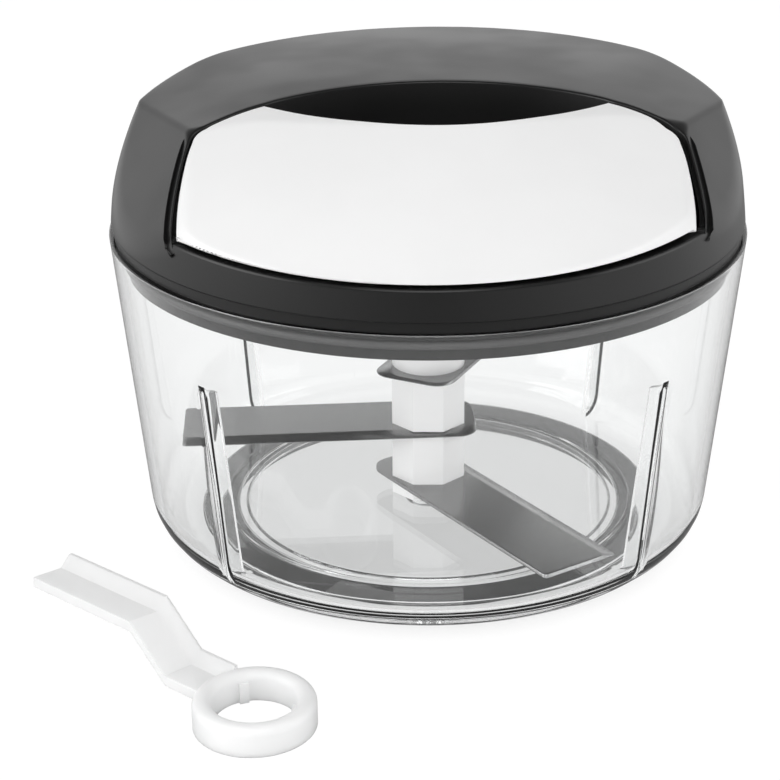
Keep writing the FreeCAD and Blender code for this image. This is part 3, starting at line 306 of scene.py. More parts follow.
LID_DARK = satin("lid_satin", 0.009, 0.32, 1800.0, 0.012)
HANDLE_WHITE = satin("handle_satin", 0.86, 0.42, 1800.0, 0.008)
PALE_PLASTIC = satin("bearing_plastic", 0.75, 0.45, 1200.0, 0.01)
INNER_PLASTIC = satin("mechanism_plastic", 0.12, 0.42, 900.0, 0.015)
FOOT_RUBBER = satin("foot_rubber", 0.025, 0.65, 2500.0, 0.004, 0.1)
SEAL_SILICONE = satin("seal_silicone", 0.06, 0.5, 1500.0, 0.01, 0.4)
COLUMN_WHITE = satin("column_plastic", 0.92, 0.35, 1200.0, 0.004)
print("satin finishes made")

# %% Metals
def metal(name, colour, roughness, stretch):
    """Steel with the fine marks that rolling or grinding leaves. They lie closer along an axis where
    stretch is more than 1, which draws them out to lines."""
    finish = Finish(name)
    lines = finish.noise(400.0, 2.0, finish.place(scale=stretch))
    rough = lines.ramp(0.3, 0.7, roughness - 0.01, roughness + 0.01)
    shader = finish.plastic(grey(colour), rough, Metallic=1.0, Normal=finish.bump(lines, 0.0001))
    return finish.show(shader)


STEEL = metal("bright_steel", 0.6, 0.22, (1, 1, 6))
BLADE_STEEL = metal("blade_steel", 0.28, 0.26, (1, 1, 1))
SPRING_STEEL = metal("spring_steel", 0.2, 0.3, (1, 1, 8))
print("metal finishes made")

# %% Clear bowl plastic
def clear_plastic():
    """Clear moulded plastic. For a shadow or the soft light it is a thin grey veil instead, so that
    both reach what stands inside it."""
    finish = Finish("clear_plastic")
    faint = finish.noise(14.0, 1.0)
    rough = faint.ramp(0.3, 0.7, 0.0, 0.03)
    glass = finish.plastic((0.985, 0.99, 0.99, 1), rough, IOR=1.49, Transmission_Weight=1.0)
    veil = finish.node("ShaderNodeBsdfTransparent", None, {"Color": grey(0.97)})
    return finish.show(finish.mixed(finish.seen_by("Is Shadow Ray", "Is Diffuse Ray"), glass, veil))


CLEAR = clear_plastic()
print("clear plastic made")

# %% Frosted arm plastic and cord
def frosted():
    """Natural polypropylene: milky, so light soaks in a little before it comes back."""
    finish = Finish("arm_plastic")
    cloud = finish.noise(60.0, 2.0)
    tint = finish.colours(cloud.ramp(0.3, 0.7), (0.84, 0.845, 0.845, 1), (0.87, 0.87, 0.87, 1))
    shader = finish.plastic(tint, 0.38, Subsurface_Weight=0.6, Subsurface_Scale=0.004,
                            Subsurface_Radius=(1.0, 1.0, 1.0),
                            Normal=finish.bump(finish.noise(1500.0), 0.008))
    return finish.show(shader)


ARM_PLASTIC = frosted()
CORD_FINISH = satin("cord_braid", 0.75, 0.8, 900.0, 0.2, 0.1)
print("arm and cord finishes made")

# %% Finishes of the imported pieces
FINISH_OF = {
    "clear_plastic": CLEAR, "soft_foot": FOOT_RUBBER, "steel": STEEL, "pale_plastic": PALE_PLASTIC,
    "column_plastic": COLUMN_WHITE, "blade_steel": BLADE_STEEL, "lid_plastic": LID_DARK,
    "inner_plastic": INNER_PLASTIC, "seal_rubber": SEAL_SILICONE, "spring_steel": SPRING_STEEL,
    "cord": CORD_FINISH, "handle_plastic": HANDLE_WHITE, "arm_plastic": ARM_PLASTIC,
}
for subpart in frame["record"]["subparts"]:
    piece = frame["nodes"][subpart["node"]]
    piece.data.materials.clear()
    piece.data.materials.append(FINISH_OF[subpart["material_slot"]])
frame["nodes"]["lid_base"].data.materials[0] = LID_DARK     # its skirt shows and has the lid's grain
print("finishes given to", len(frame["nodes"]), "pieces")

# %% [markdown]
# ## From grids to meshes
# Most new pieces here are grids: rows and columns of points, worked out for the whole piece at once.
# Where a row closes on itself, as round a bowl, the last column joins the first. Points that fall
# together, such as a row that shrinks to one point at a pole, are merged afterwards.

# %% Grid helpers
MERGE = 0.002 * MM


def grid_faces(rows, columns, wrap=True):
    """Corner numbers of the faces between neighbours. They face outwards where the columns run
    anticlockwise seen from above and the rows run up, or inwards over the top."""
    start = np.arange(rows - 1)[:, None] * columns
    here = np.arange(columns if wrap else columns - 1)[None, :]
    there = (here + 1) % columns
    return np.stack([start + here, start + there, start + columns + there, start + columns + here],
                    -1).reshape(-1, 4)


def build(name, points, faces, finish, body, slot, *nodes, sharp=None):
    """Mesh piece from points in millimetres, on its body, in place of the CAD nodes. A piece without
    a body is left on none."""
    mesh = bpy.data.meshes.new(name)
    mesh.from_pydata((points.reshape(-1, 3) * MM).tolist(), [], faces.tolist())
    work = bmesh.new()
    work.from_mesh(mesh)
    bmesh.ops.remove_doubles(work, verts=work.verts, dist=MERGE)
    bmesh.ops.dissolve_degenerate(work, edges=work.edges, dist=MERGE / 2)
    work.to_mesh(mesh)
    work.free()
    mesh.shade_smooth()
    if sharp:
        mesh.set_sharp_from_angle(angle=math.radians(sharp))
    mesh.materials.append(finish)
    piece = bpy.data.objects.new(name, mesh)
    bpy.context.scene.collection.objects.link(piece)
    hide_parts(*nodes)
    if body:
        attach(piece, body)
    print(name, len(mesh.vertices), "points", len(mesh.polygons), "faces")
    return piece


def thicken(piece, wall):
    """Give a sheet its wall, on the side away from its faces."""
    solid = piece.modifiers.new("wall", "SOLIDIFY")
    solid.thickness = wall * MM
    solid.offset = -1.0


def unit(vectors):
    """Each vector divided by its length."""
    return vectors / np.maximum(np.linalg.norm(vectors, axis=-1, keepdims=True), 1e-9)


def smoothed(values, passes):
    """Closed row of values. Each pass mixes every value half and half with the mean of its two
    neighbours."""
    for _ in range(passes):
        values = values / 2 + (np.roll(values, 1, 0) + np.roll(values, -1, 0)) / 4
    return values


print("grid helpers are ready")

# %% [markdown]
# ## The form of the lid
# The lid looks cut like a stone: a leaning round wall, a flat facet on each side, two slightly tilted
# ones behind, a nearly flat crown and a broad curved facet in front, which the handle shares. It could
# be modelled by hand from a cylinder. A field says it more exactly: for any point it gives the distance
# outside each facet, and the largest of them is the distance outside the lid. Where two facets meet,
# a soft maximum rolls one into the other, as a polished mould does. Lid and handle are then both read
# off the same field, so that they run on flush from one to the other.

# %% Lid field
LID_FOOT = 84.4                     # the base flange ends here
WALL_FOOT = 83.9
WALL_RADII = (78.4, 76.4, 73.3)     # at the foot, half way and at the top of the wall
WALL_RISE = 31.0
WALL_COSINE = 0.98                  # distance to the leaning wall, over distance straight out
CROWN_RADIUS = 810.0
CROWN_PEAK = (9.5, 7.6, 114.9)
FRONT_TUBE = 262.0                  # radius of the front facet from side to side
FRONT_RING = 650.0                  # and from front to back
FRONT_PLACE = (1.9, -56.0, 102.36)
FRONT_SLOPE = math.radians(22.9)
SIDE_PLACE = (-56.8, -20.5, 111.15)     # from the line half way between the side facets
SIDE_FACING = (202.8, 40.6)
SIDE_CENTRE = 2.0
REAR_PLACE = (-55.75, -20.0, 110.85)
REAR_FACING = (187.2, 78.6)
REAR_CENTRE = 4.2
CROWN_BLEND = 0.9                   # widths of the rolled creases
SIDE_BLEND = 0.9
WALL_BLEND = 1.1
SIDE_WALL_BLEND = 2.2
FRONT_BLEND = 0.5
CAST_REACH, CAST_HALVINGS = 170.0, 34
LIFT_START = 20.0                   # rays straight up start this far under the lid's foot


def soft_max(a, b, width):
    """Larger of two distances, with a parabola where they are closer than width."""
    near = np.maximum(width - np.abs(a - b), 0)
    return np.maximum(a, b) + near * near / (4 * width)


def facing(azimuth, elevation):
    """Direction of length 1 with these angles in degrees."""
    a, e = math.radians(azimuth), math.radians(elevation)
    return np.array((math.cos(a) * math.cos(e), math.sin(a) * math.cos(e), math.sin(e)))


def wall_radius(z):
    """Arc of the wall: a straight lean, less four times its hollow times part times the rest."""
    part = np.clip((z - WALL_FOOT) / WALL_RISE, -0.5, 1.3)
    foot, middle, top = WALL_RADII
    return foot + (top - foot) * part - 4 * ((foot + top) / 2 - middle) * part * (1 - part)


def facet(points, centre, place, direction):
    """Distance outside a facet and its mirror image about the line at centre."""
    folded = np.stack([-np.abs(points[..., 0] - centre), points[..., 1], points[..., 2]], -1)
    return (folded - np.array(place)) @ facing(*direction)


def lid_field(points, sink=0.0):
    """Distance outside the lid, for points in millimetres: the soft maximum of the distances outside
    the wall, the facets, the crown's ball and the front's ring. sink draws the surface in."""
    x, y, z = points[..., 0], points[..., 1], points[..., 2]
    wall = (np.hypot(x, y) - wall_radius(z)) * WALL_COSINE
    side = facet(points, SIDE_CENTRE, SIDE_PLACE, SIDE_FACING)
    rear = facet(points, REAR_CENTRE, REAR_PLACE, REAR_FACING)
    middle = np.array(CROWN_PEAK) - (0, 0, CROWN_RADIUS)
    crown = np.linalg.norm(points - middle, axis=-1) - CROWN_RADIUS
    across, back, up = FRONT_PLACE
    sunk, raised = FRONT_RING * math.sin(FRONT_SLOPE), FRONT_RING * math.cos(FRONT_SLOPE)
    ring = np.hypot(y - back - sunk, z - up + raised)
    front = np.hypot(ring - FRONT_RING + FRONT_TUBE, x - across) - FRONT_TUBE
    top = soft_max(soft_max(crown, rear, CROWN_BLEND), side, SIDE_BLEND)
    body = np.maximum(soft_max(top, wall, WALL_BLEND), soft_max(side, wall, SIDE_WALL_BLEND))
    return soft_max(body, front, FRONT_BLEND) + sink


def slope_of(points, sink=0.0, step=0.05):
    """Outward direction of the field, from its rise over a small step each way."""
    shifts = np.eye(3) * step
    rise = [lid_field(points + shift, sink) - lid_field(points - shift, sink) for shift in shifts]
    return unit(np.stack(rise, -1))


def cast(origins, directions, sink=0.0):
    """Where rays from inside leave the lid. The stretch that holds the place is halved again
    and again, for all rays at once."""
    shape = np.broadcast_shapes(np.shape(origins), np.shape(directions))[:-1]
    low, high = np.zeros(shape), np.full(shape, CAST_REACH)
    for _ in range(CAST_HALVINGS):
        middle = (low + high) / 2
        outside = lid_field(origins + directions * middle[..., None], sink) > 0
        low, high = np.where(outside, low, middle), np.where(outside, middle, high)
    return origins + directions * low[..., None]


def lifted(plan, sink=0.0):
    """Points of a plan, raised straight up to the lid's surface."""
    base = np.concatenate([plan, np.full(plan.shape[:-1] + (1,), LID_FOOT - LIFT_START)], -1)
    return cast(base, np.array((0.0, 0.0, 1.0)), sink)


print("lid is", round(float(lifted(np.array([[0.0, 30.0]]))[0, 2]), 2), "mm high behind its middle")

# %% [markdown]
# ## Outline of the handle
# Seen from above, the handle has full sides, round shoulders, slanting edges and a hollow rear edge
# for the fingers. The pocket in the lid has the same outline, a little larger, but runs back round the
# finger recess. Both come from one function. Its arcs are given by how far they bow out. At the front
# the outline ends where it meets the lid's round wall, and the edge follows that wall.

# %% Outline helpers
FRONT_HALF, FRONT_BACK = 58.4, -52.0
SHOULDER_HALF, SHOULDER_BACK = 57.3, -23.0
SHOULDER_IN, SHOULDER_ON = 2.7, 4.1
CORNER_HALF, CORNER_BACK = 41.2, -8.6
SIDE_BOW, SHOULDER_BOW, SLANT_BOW = 1.2, 0.74, 0.7
LID_FRONT = -77.7
WALL_GUESS = 77.0                   # about the wall's radius at the outline's front


def bowed(start, end, bow, count=900):
    """Arc that bows out to the right of the way from start to end: its height over the chord is that
    of a circle through both ends and the bow's top."""
    start, end = np.array(start), np.array(end)
    length = np.linalg.norm(end - start)
    ahead = (end - start) / length
    radius = (length ** 2 / 4 + bow ** 2) / (2 * bow)
    along = np.linspace(-length / 2, length / 2, count)
    height = np.sqrt(radius ** 2 - along ** 2) - (radius - bow)
    return (start + end) / 2 + along[:, None] * ahead + height[:, None] * (ahead[1], -ahead[0])


def outline(x, front, side, rear, rear_back):
    """Three arcs up the right side, the arc of the rear, and the same three down the left side."""
    full = (FRONT_HALF + front, FRONT_BACK)
    shoulder = (SHOULDER_HALF + side, SHOULDER_BACK + rear * 0.3)
    slant = (SHOULDER_HALF - SHOULDER_IN + side / 2, SHOULDER_BACK + SHOULDER_ON + rear)
    corner = (CORNER_HALF + side / 2, CORNER_BACK + rear)
    right = np.concatenate([bowed(full, shoulder, SIDE_BOW), bowed(shoulder, slant, SHOULDER_BOW),
                            bowed(slant, corner, SLANT_BOW)])
    left = right[::-1] * (-1, 1)
    deep = rear_back - corner[1]
    behind = bowed(right[-1], left[0], abs(deep)) if deep > 0 else bowed(left[0], right[-1], -deep)[::-1]
    return [part + (x, 0) for part in (right, behind, left)]


def spaced(points, shares):
    """Points at these shares of the length of a line in space."""
    steps = np.linalg.norm(np.diff(points, axis=0), axis=1)
    way = np.concatenate([[0.0], np.cumsum(steps)])
    return np.stack([np.interp(shares * way[-1], way, points[:, k]) for k in range(points.shape[1])], -1)


def inside_wall(line, foot, sink=0.0):
    """The part of a plan line that lies inside the lid's wall at the height that foot gives."""
    reach = wall_radius(foot(line[:, 1])) - sink
    return line[np.hypot(line[:, 0], line[:, 1]) < reach]


def wall_run(left, right, foot, sink, count):
    """Run along the wall from the left end to the right, in front of the lid's axis. Its height
    depends on how far it reaches, so each pass works the radius out again from the height."""
    turn = np.linspace(math.atan2(left[1], left[0]), math.atan2(right[1], right[0]), count)
    radius = np.full(count, WALL_GUESS)
    for _ in range(4):
        radius = wall_radius(foot(radius * np.sin(turn))) - sink
    y = radius * np.sin(turn)
    return np.stack([radius * np.cos(turn), y, foot(y)], -1)


def rolled(edge, over, into, radius, count):
    """Quarter round in place of a sharp edge: from edge plus radius times over, to edge plus radius
    times into. Each row is one angle of the round."""
    turn = np.linspace(0, math.pi / 2, count)[:, None, None]
    middle = edge + radius * (over + into)
    return middle - radius * (np.sin(turn) * over + np.cos(turn) * into)


print("outline helpers are ready")

# %% [markdown]
# ## Top shell
# The dark dome is one thin moulding, with the handle's pocket sunk into its front and the round
# housing of the cord drum standing up in the pocket. It is made as one sheet. Each column of the grid
# starts at the foot, climbs over the facets to the pocket's edge, rolls over the lip, drops down the
# pocket's wall, crosses its floor and climbs the housing to its middle. Solidify then gives the wall.
# Rows crowd together where the surface turns, so that the creases stay clean.

# %% Top shell helpers
SHELL_COLUMNS = 400
SHELL_FRONT = 120                   # of these columns, those along the front
SKIN_ROWS = 62
HEART = np.array((1.0, -12.0, 84.0))        # the skin's rays start here
TURN_WORTH = 14.0                   # millimetres of length that a turn of one radian counts for
PULL_ROWS = 4


def loop_frame(edge, sink, front):
    """For a closed edge, anticlockwise from above: the way over the surface away from the loop, and
    the way into the part. That is straight down under facets, and straight in along the front, which
    holds the last points of the edge and follows the wall."""
    along = unit(np.roll(edge, -1, 0) - np.roll(edge, 1, 0))
    out = slope_of(edge, sink)
    out[-front:] = unit(edge[-front:] * (1, 1, 0))
    wall = np.zeros((len(edge), 1))
    wall[-front:] = 1
    into = unit(-out * wall - (1 - wall) * np.array((0.0, 0.0, 1.0)))
    into = unit(smoothed(into, 3))
    over = unit(smoothed(np.cross(along, out), 3))
    return over, into


def crossing(starts, ways, radius):
    """Distance along plan rays to a circle about the axis, or 0 for a start inside it."""
    along = (starts * ways).sum(-1)
    rest = (starts ** 2).sum(-1) - radius ** 2
    hit = -along - np.sqrt(np.maximum(along ** 2 - rest, 0))
    return np.where(rest > 0, hit, 0.0)


def profile(corners, rounds, counts):
    """Columns through corner points, each corner rounded by a curve that it pulls on. counts says
    how many rows lie between one corner and the next."""
    rows = []
    for k in range(1, len(corners) - 1):
        before, here, after = corners[k - 1], corners[k], corners[k + 1]
        back, ahead = before - here, after - here
        reach_back = np.minimum(rounds[k], np.linalg.norm(back, axis=-1, keepdims=True) * 0.45)
        reach_on = np.minimum(rounds[k], np.linalg.norm(ahead, axis=-1, keepdims=True) * 0.45)
        a, b = here + unit(back) * reach_back, here + unit(ahead) * reach_on
        last = rows[-1][-1] if rows else corners[0]
        gaps = np.linspace(0, 1, counts[k - 1] + 1)[1:-1, None, None]
        pull = np.linspace(0, 1, PULL_ROWS)[:, None, None]
        rows.append(last + (a - last) * gaps)
        rows.append((1 - pull) ** 2 * a + 2 * pull * (1 - pull) * here + pull ** 2 * b)
    last = rows[-1][-1]
    gaps = np.linspace(0, 1, counts[-1] + 1)[1:, None, None]
    rows.append(last + (corners[-1] - last) * gaps)
    return np.concatenate(rows)


def skin(feet, tops, rows, samples=260):
    """Surface between two closed loops on the lid. Rays from the heart sweep from one to the other,
    and the rows are spread by length plus a share of how far the surface turns."""
    share = np.linspace(0, 1, samples)[:, None, None]
    ways = unit(unit(feet - HEART) * (1 - share) + unit(tops - HEART) * share)
    dense = cast(HEART, ways)
    steps = np.linalg.norm(np.diff(dense, axis=0), axis=-1)
    turns = np.linalg.norm(np.diff(slope_of(dense), axis=0), axis=-1)
    way = np.concatenate([np.zeros((1, dense.shape[1])), np.cumsum(steps + TURN_WORTH * turns, 0)])
    way = way / way[-1] + 2 * np.arange(dense.shape[1])
    wanted = np.linspace(0, 1, rows)[:, None] + 2 * np.arange(dense.shape[1])
    flat = way.T.ravel()
    return np.stack([np.interp(wanted.T.ravel(), flat, dense[..., k].T.ravel()).reshape(-1, rows).T
                     for k in range(3)], -1)


print("top shell helpers are ready")

# %% Pocket and foot
POCKET_X = 2.6
POCKET_OUTLINE = (1.8, 1.4, 1.2, 6.8)       # wider than the handle in front, at the side, behind
POCKET_FLOOR = 88.0
SHELF_Z, SHELF_SLOPE = 91.9, 0.055
SHELF_EDGE = 74.4                   # radius where the shelf behind the front edge drops to the floor
HOUSING_RADIUS, HOUSING_TOP = 34.5, 102.3
HUB = np.array((1.5, -14.0))        # the pocket's columns end here, in the housing's middle
CORNER_ROUNDS = (0, 0.6, 0.5, 0.6, 0.8, 1.0, 0)
CORNER_ROWS = (3, 2, 2, 4, 3, 6)
FAN_Y = -25.0                       # seen from above, the columns fan out from here
FAN_PASSES = 80                     # how often the angles of the columns are evened out
FRONT_SAMPLES = 1500
HEM = 0.4                           # round at the foot


def shelf_height(y):
    """The shelf rises evenly from front to rear."""
    return SHELF_Z + SHELF_SLOPE * (y - LID_FRONT)


def pocket_edge():
    """Closed edge of the pocket, one point for each column. The last ones follow the wall in front."""
    lines = [inside_wall(line, shelf_height) for line in outline(POCKET_X, *POCKET_OUTLINE)]
    open_edge = lifted(np.concatenate(lines))
    front = wall_run(open_edge[-1], open_edge[0], shelf_height, 0.0, FRONT_SAMPLES)[1:-1]
    front = np.concatenate([open_edge[-1:], front, open_edge[:1]])
    return np.concatenate([spaced(open_edge, np.linspace(0, 1, SHELL_COLUMNS - SHELL_FRONT + 1)),
                           spaced(front, np.linspace(0, 1, SHELL_FRONT + 1))[1:-1]])


def foot_rows(edge):
    """Three rows round the foot, for the hem. Seen from above, a column starts where the ray from the
    fan's middle through its edge point meets the wall, once the rays' angles are evened out."""
    middle = np.array((POCKET_X, FAN_Y))
    turn = np.unwrap(np.arctan2(edge[:, 1] - FAN_Y, edge[:, 0] - POCKET_X))
    even = 2 * math.pi * np.arange(SHELL_COLUMNS) / SHELL_COLUMNS
    turn = smoothed(turn - even, FAN_PASSES) + even
    rays = np.stack([np.cos(turn), np.sin(turn)], -1)
    along = rays @ middle
    radius = wall_radius(LID_FOOT + HEM)
    reach = -along + np.sqrt(along ** 2 + radius ** 2 - middle @ middle)
    plan = middle + rays * reach[:, None]
    return [np.concatenate([plan * (1 - drawn / radius), np.full((SHELL_COLUMNS, 1), LID_FOOT + rise)], -1)
            for drawn, rise in ((HEM, 0.0), (0.3 * HEM, 0.3 * HEM), (0.0, HEM))]


def pocket_rows(start):
    """Rows from the lip's end down to the shelf, to the floor, and up the housing to its middle. Each
    column runs straight to the hub, and steps where it crosses the shelf's and the housing's circle."""
    plan = start[:, :2]
    ways = unit(HUB - plan)
    step_in = crossing(plan, ways, SHELF_EDGE)
    step_up = crossing(plan, ways, HOUSING_RADIUS)
    far = np.linalg.norm(plan, axis=-1)
    floor = np.where(far > HOUSING_RADIUS, POCKET_FLOOR, HOUSING_TOP)
    shelf = np.where(far > SHELF_EDGE, np.minimum(shelf_height(start[:, 1]), start[:, 2]), floor)
    hub = np.linalg.norm(HUB - plan, axis=-1)

    def at(distance, height):
        height = np.broadcast_to(height, far.shape)
        return np.concatenate([plan + ways * distance[:, None], height[:, None]], -1)

    corners = [start, at(np.zeros(SHELL_COLUMNS), shelf), at(step_in, shelf), at(step_in, floor),
               at(step_up, floor), at(step_up, HOUSING_TOP), at(hub, HOUSING_TOP)]
    return profile(corners, CORNER_ROUNDS, CORNER_ROWS)


print("shelf is", round(shelf_height(LID_FRONT), 2), "mm high in front")

# %% Top shell
LIP = 0.6
LIP_ROWS = 6
SHELL_WALL = 1.9

edge = pocket_edge()
over, into = loop_frame(edge, 0.0, SHELL_FRONT - 1)
lip = rolled(edge, over, into, LIP, LIP_ROWS)
hem, hem_middle, feet = foot_rows(edge)
tops = cast(HEART, unit(edge + LIP * over - HEART))
shell_grid = np.concatenate([hem[None], hem_middle[None], skin(feet, tops, SKIN_ROWS), lip[1:],
                             pocket_rows(lip[-1])[1:]])
shell_faces = grid_faces(*shell_grid.shape[:2])
thicken(build("top_shell_skin", shell_grid, shell_faces, LID_DARK, "lid", "lid_plastic", "top_shell"),
        SHELL_WALL)

# %% [markdown]
# ## Handle
# The white handle is a thin shell, flush with the lid's front facet, with a turned-down rim. Solidify
# would push its wall out through the thin front, so the shell is drawn all round as one closed piece.
# Its outline has four long sides, so the top is a patch stretched between them: each point is what its
# two pairs of sides say, added up, less what the corners say. The patch is then pushed onto the same
# field as the lid, sunk by a hair. The rim rolls over the edge, runs down to the foot, across it and
# up again to the ceiling, which is the same kind of patch.

# %% Handle helpers
HANDLE_X = 1.95
HANDLE_REAR = -26.6
HANDLE_SINK = 0.15
HANDLE_FOOT_Z, HANDLE_FOOT_SLOPE = 92.9, 0.08
OVER_HOUSING = 1.0                  # the rim's clearance over the drum's housing
HANDLE_LIP, FRONT_LIP, LEAST_LIP = 0.55, 0.25, 0.08     # rounds of the edge
LIP_GROWTH = 0.05                   # from point to point, from a front corner on
HANDLE_WALL = 2.2
LEAST_RIM, LEAST_ROOM = 0.05, 0.02  # least height of the rim, and of the wall over it
ACROSS, DEEP = 110, 84
ROW_SHARES = np.linspace(0, 1, DEEP + 1) ** 1.15        # rows crowd a little to the front
FRONT_RUN = slice(1 - ACROSS, None)                     # the edge's last points, along the front
HANDLE_HEART = np.array((1.95, -42.0, 55.0))            # the top's rays start here


def handle_foot(y):
    """The foot rises evenly from front to rear."""
    return HANDLE_FOOT_Z + HANDLE_FOOT_SLOPE * (y - LID_FRONT)


def patch(front, rear, left, right):
    """Surface between four sides: the blend of left and right plus the blend of front and rear, less
    the blend of the four corners."""
    u = np.linspace(0, 1, front.shape[0])[None, :, None]
    v = ROW_SHARES[:, None, None]
    sides = left[:, None] * (1 - u) + right[:, None] * u
    ends = front[None] * (1 - v) + rear[None] * v
    corners = (front[0] * (1 - u) + front[-1] * u) * (1 - v) + (rear[0] * (1 - u) + rear[-1] * u) * v
    return sides + ends - corners


def four_sides(row):
    """A closed row that starts at the front right corner, as its sides in front, behind, left, right."""
    a, b, c = DEEP, DEEP + ACROSS, 2 * DEEP + ACROSS
    return np.concatenate([row[c:], row[:1]]), row[a:b + 1][::-1], row[b:c + 1][::-1], row[:a + 1]


def handle_edge():
    """Closed edge on the lid's field, anticlockwise from above, from the front right corner."""
    right, rear, left = outline(HANDLE_X, 0.0, 0.0, 0.0, HANDLE_REAR)
    right = lifted(inside_wall(right, handle_foot, HANDLE_SINK), HANDLE_SINK)
    left = lifted(inside_wall(left, handle_foot, HANDLE_SINK), HANDLE_SINK)
    rear = lifted(rear, HANDLE_SINK)
    front = wall_run(left[-1], right[0], handle_foot, HANDLE_SINK, ACROSS + 1)
    level = np.linspace(0, 1, ACROSS + 1)
    return np.concatenate([spaced(right, ROW_SHARES)[:-1], spaced(rear, level)[:-1],
                           spaced(left, 1 - ROW_SHARES[::-1])[:-1], front[:-1]])


def lip_radius(edge):
    """Half the height over the foot, within limits. In front it grows from either corner."""
    radius = np.clip((edge[:, 2:] - handle_foot(edge[:, 1:2])) / 2, LEAST_LIP, HANDLE_LIP)
    ends = np.minimum(np.arange(1, ACROSS), np.arange(1, ACROSS)[::-1])
    radius[FRONT_RUN, 0] = np.clip(LEAST_LIP + LIP_GROWTH * ends, 0, FRONT_LIP)
    radius[-ACROSS] = LEAST_LIP
    return radius


def rim_rows(edge):
    """Rows round the lip, then the foot, its inner edge and the ceiling's edge. In front there is no
    rim: the top comes down to the foot there."""
    over, into = loop_frame(edge, HANDLE_SINK, ACROSS - 1)
    lip = rolled(edge, -over, into, lip_radius(edge), LIP_ROWS)
    lip[0] = cast(HANDLE_HEART, unit(lip[0] - HANDLE_HEART), HANDLE_SINK)
    end = lip[-1]
    over_housing = np.hypot(end[:, 0], end[:, 1]) < HOUSING_RADIUS + OVER_HOUSING
    low = np.where(over_housing, HOUSING_TOP + OVER_HOUSING, handle_foot(end[:, 1]))
    foot = np.concatenate([end[:, :2], np.minimum(low, end[:, 2] - LEAST_RIM)[:, None]], -1)
    foot[FRONT_RUN] = end[FRONT_RUN]
    inward = unit(-over * (1, 1, 0))
    inward[FRONT_RUN] = into[FRONT_RUN]
    hem = foot + HANDLE_WALL * inward
    high = lifted(hem[:, :2], HANDLE_SINK + HANDLE_WALL)
    high[:, 2] = np.maximum(high[:, 2], hem[:, 2] + LEAST_ROOM)
    return np.concatenate([lip, [foot, hem, high]])


print("handle's foot is", round(handle_foot(LID_FRONT), 2), "mm high in front")

# %% Handle
rim = rim_rows(handle_edge())
top = cast(HANDLE_HEART, unit(patch(*four_sides(rim[0])) - HANDLE_HEART), HANDLE_SINK)
top[0], top[-1], top[:, 0], top[:, -1] = four_sides(rim[0])
ceiling = patch(*four_sides(rim[-1]))
within = lifted(ceiling[1:-1, 1:-1, :2], HANDLE_SINK + HANDLE_WALL)
above_foot = handle_foot(ceiling[1:-1, 1:-1, 1]) + LEAST_ROOM
ceiling[1:-1, 1:-1, 2] = np.maximum(within[..., 2], above_foot)

patch_faces = grid_faces(DEEP + 1, ACROSS + 1, wrap=False)
rim_faces = grid_faces(*rim.shape[:2])
sheets = [(top, patch_faces), (rim, rim_faces[:, ::-1]), (ceiling, patch_faces[:, ::-1])]
handle_points = np.concatenate([sheet.reshape(-1, 3) for sheet, faces in sheets])
starts = np.cumsum([0] + [sheet[..., 0].size for sheet, faces in sheets])
handle_faces = np.concatenate([faces + start for (sheet, faces), start in zip(sheets, starts)])
build("handle_skin", handle_points, handle_faces, HANDLE_WHITE, "handle", "handle_plastic",
      "handle_cover")

# %% [markdown]
# ## Bowl
# The tub is moulded clear and shows every edge, so its section is drawn once and turned: a foot with
# a channel for the soft ring, a floor with a raised disc, a leaning wall and a rounded rim. The four
# inner ribs steer the food back to the blades. They could be boxes joined on. Here the inside of the
# wall is drawn in where a rib stands, so that bowl and ribs are one skin, as they are in the mould.

# %% Bowl helpers
RIM_RADIUS, RIM_Z = 79.0, 81.9
FOOT_ROUND = 10.8                   # the leaning wall runs into this round at the foot
ROUND_IN, ROUND_DOWN = 17.5, 69.1   # from the rim to the round's middle
LEAN = math.atan2(ROUND_IN, ROUND_DOWN) - math.asin(FOOT_ROUND / math.hypot(ROUND_IN, ROUND_DOWN))
BOWL_WALL = 2.2
RIB_TURNS = (46.5, 136.5, 226.5, 316.5)
RIB_OFFSETS = (-1.25, -0.95, -0.91, -0.88, -0.83, -0.64, 0.64, 0.83, 0.88, 0.91, 0.95, 1.25)
RIB_SHARES = (0.0, 0.04, 0.2, 0.85, 0.97, 1.0, 1.0, 0.97, 0.85, 0.2, 0.04, 0.0)
RIB_TOP, RIB_HOOK = 57.4, 59.8
SIDE_SHARE = 0.9                    # most of a side that a round may take
SUPPORT = 0.4                       # distance from a round to the point just past it


def bowl_radius(z, inset=0.0):
    """Radius of the leaning wall, or of the surface that lies inset inside it."""
    return RIM_RADIUS - (RIM_Z - z) * math.tan(LEAN) - inset / math.cos(LEAN)


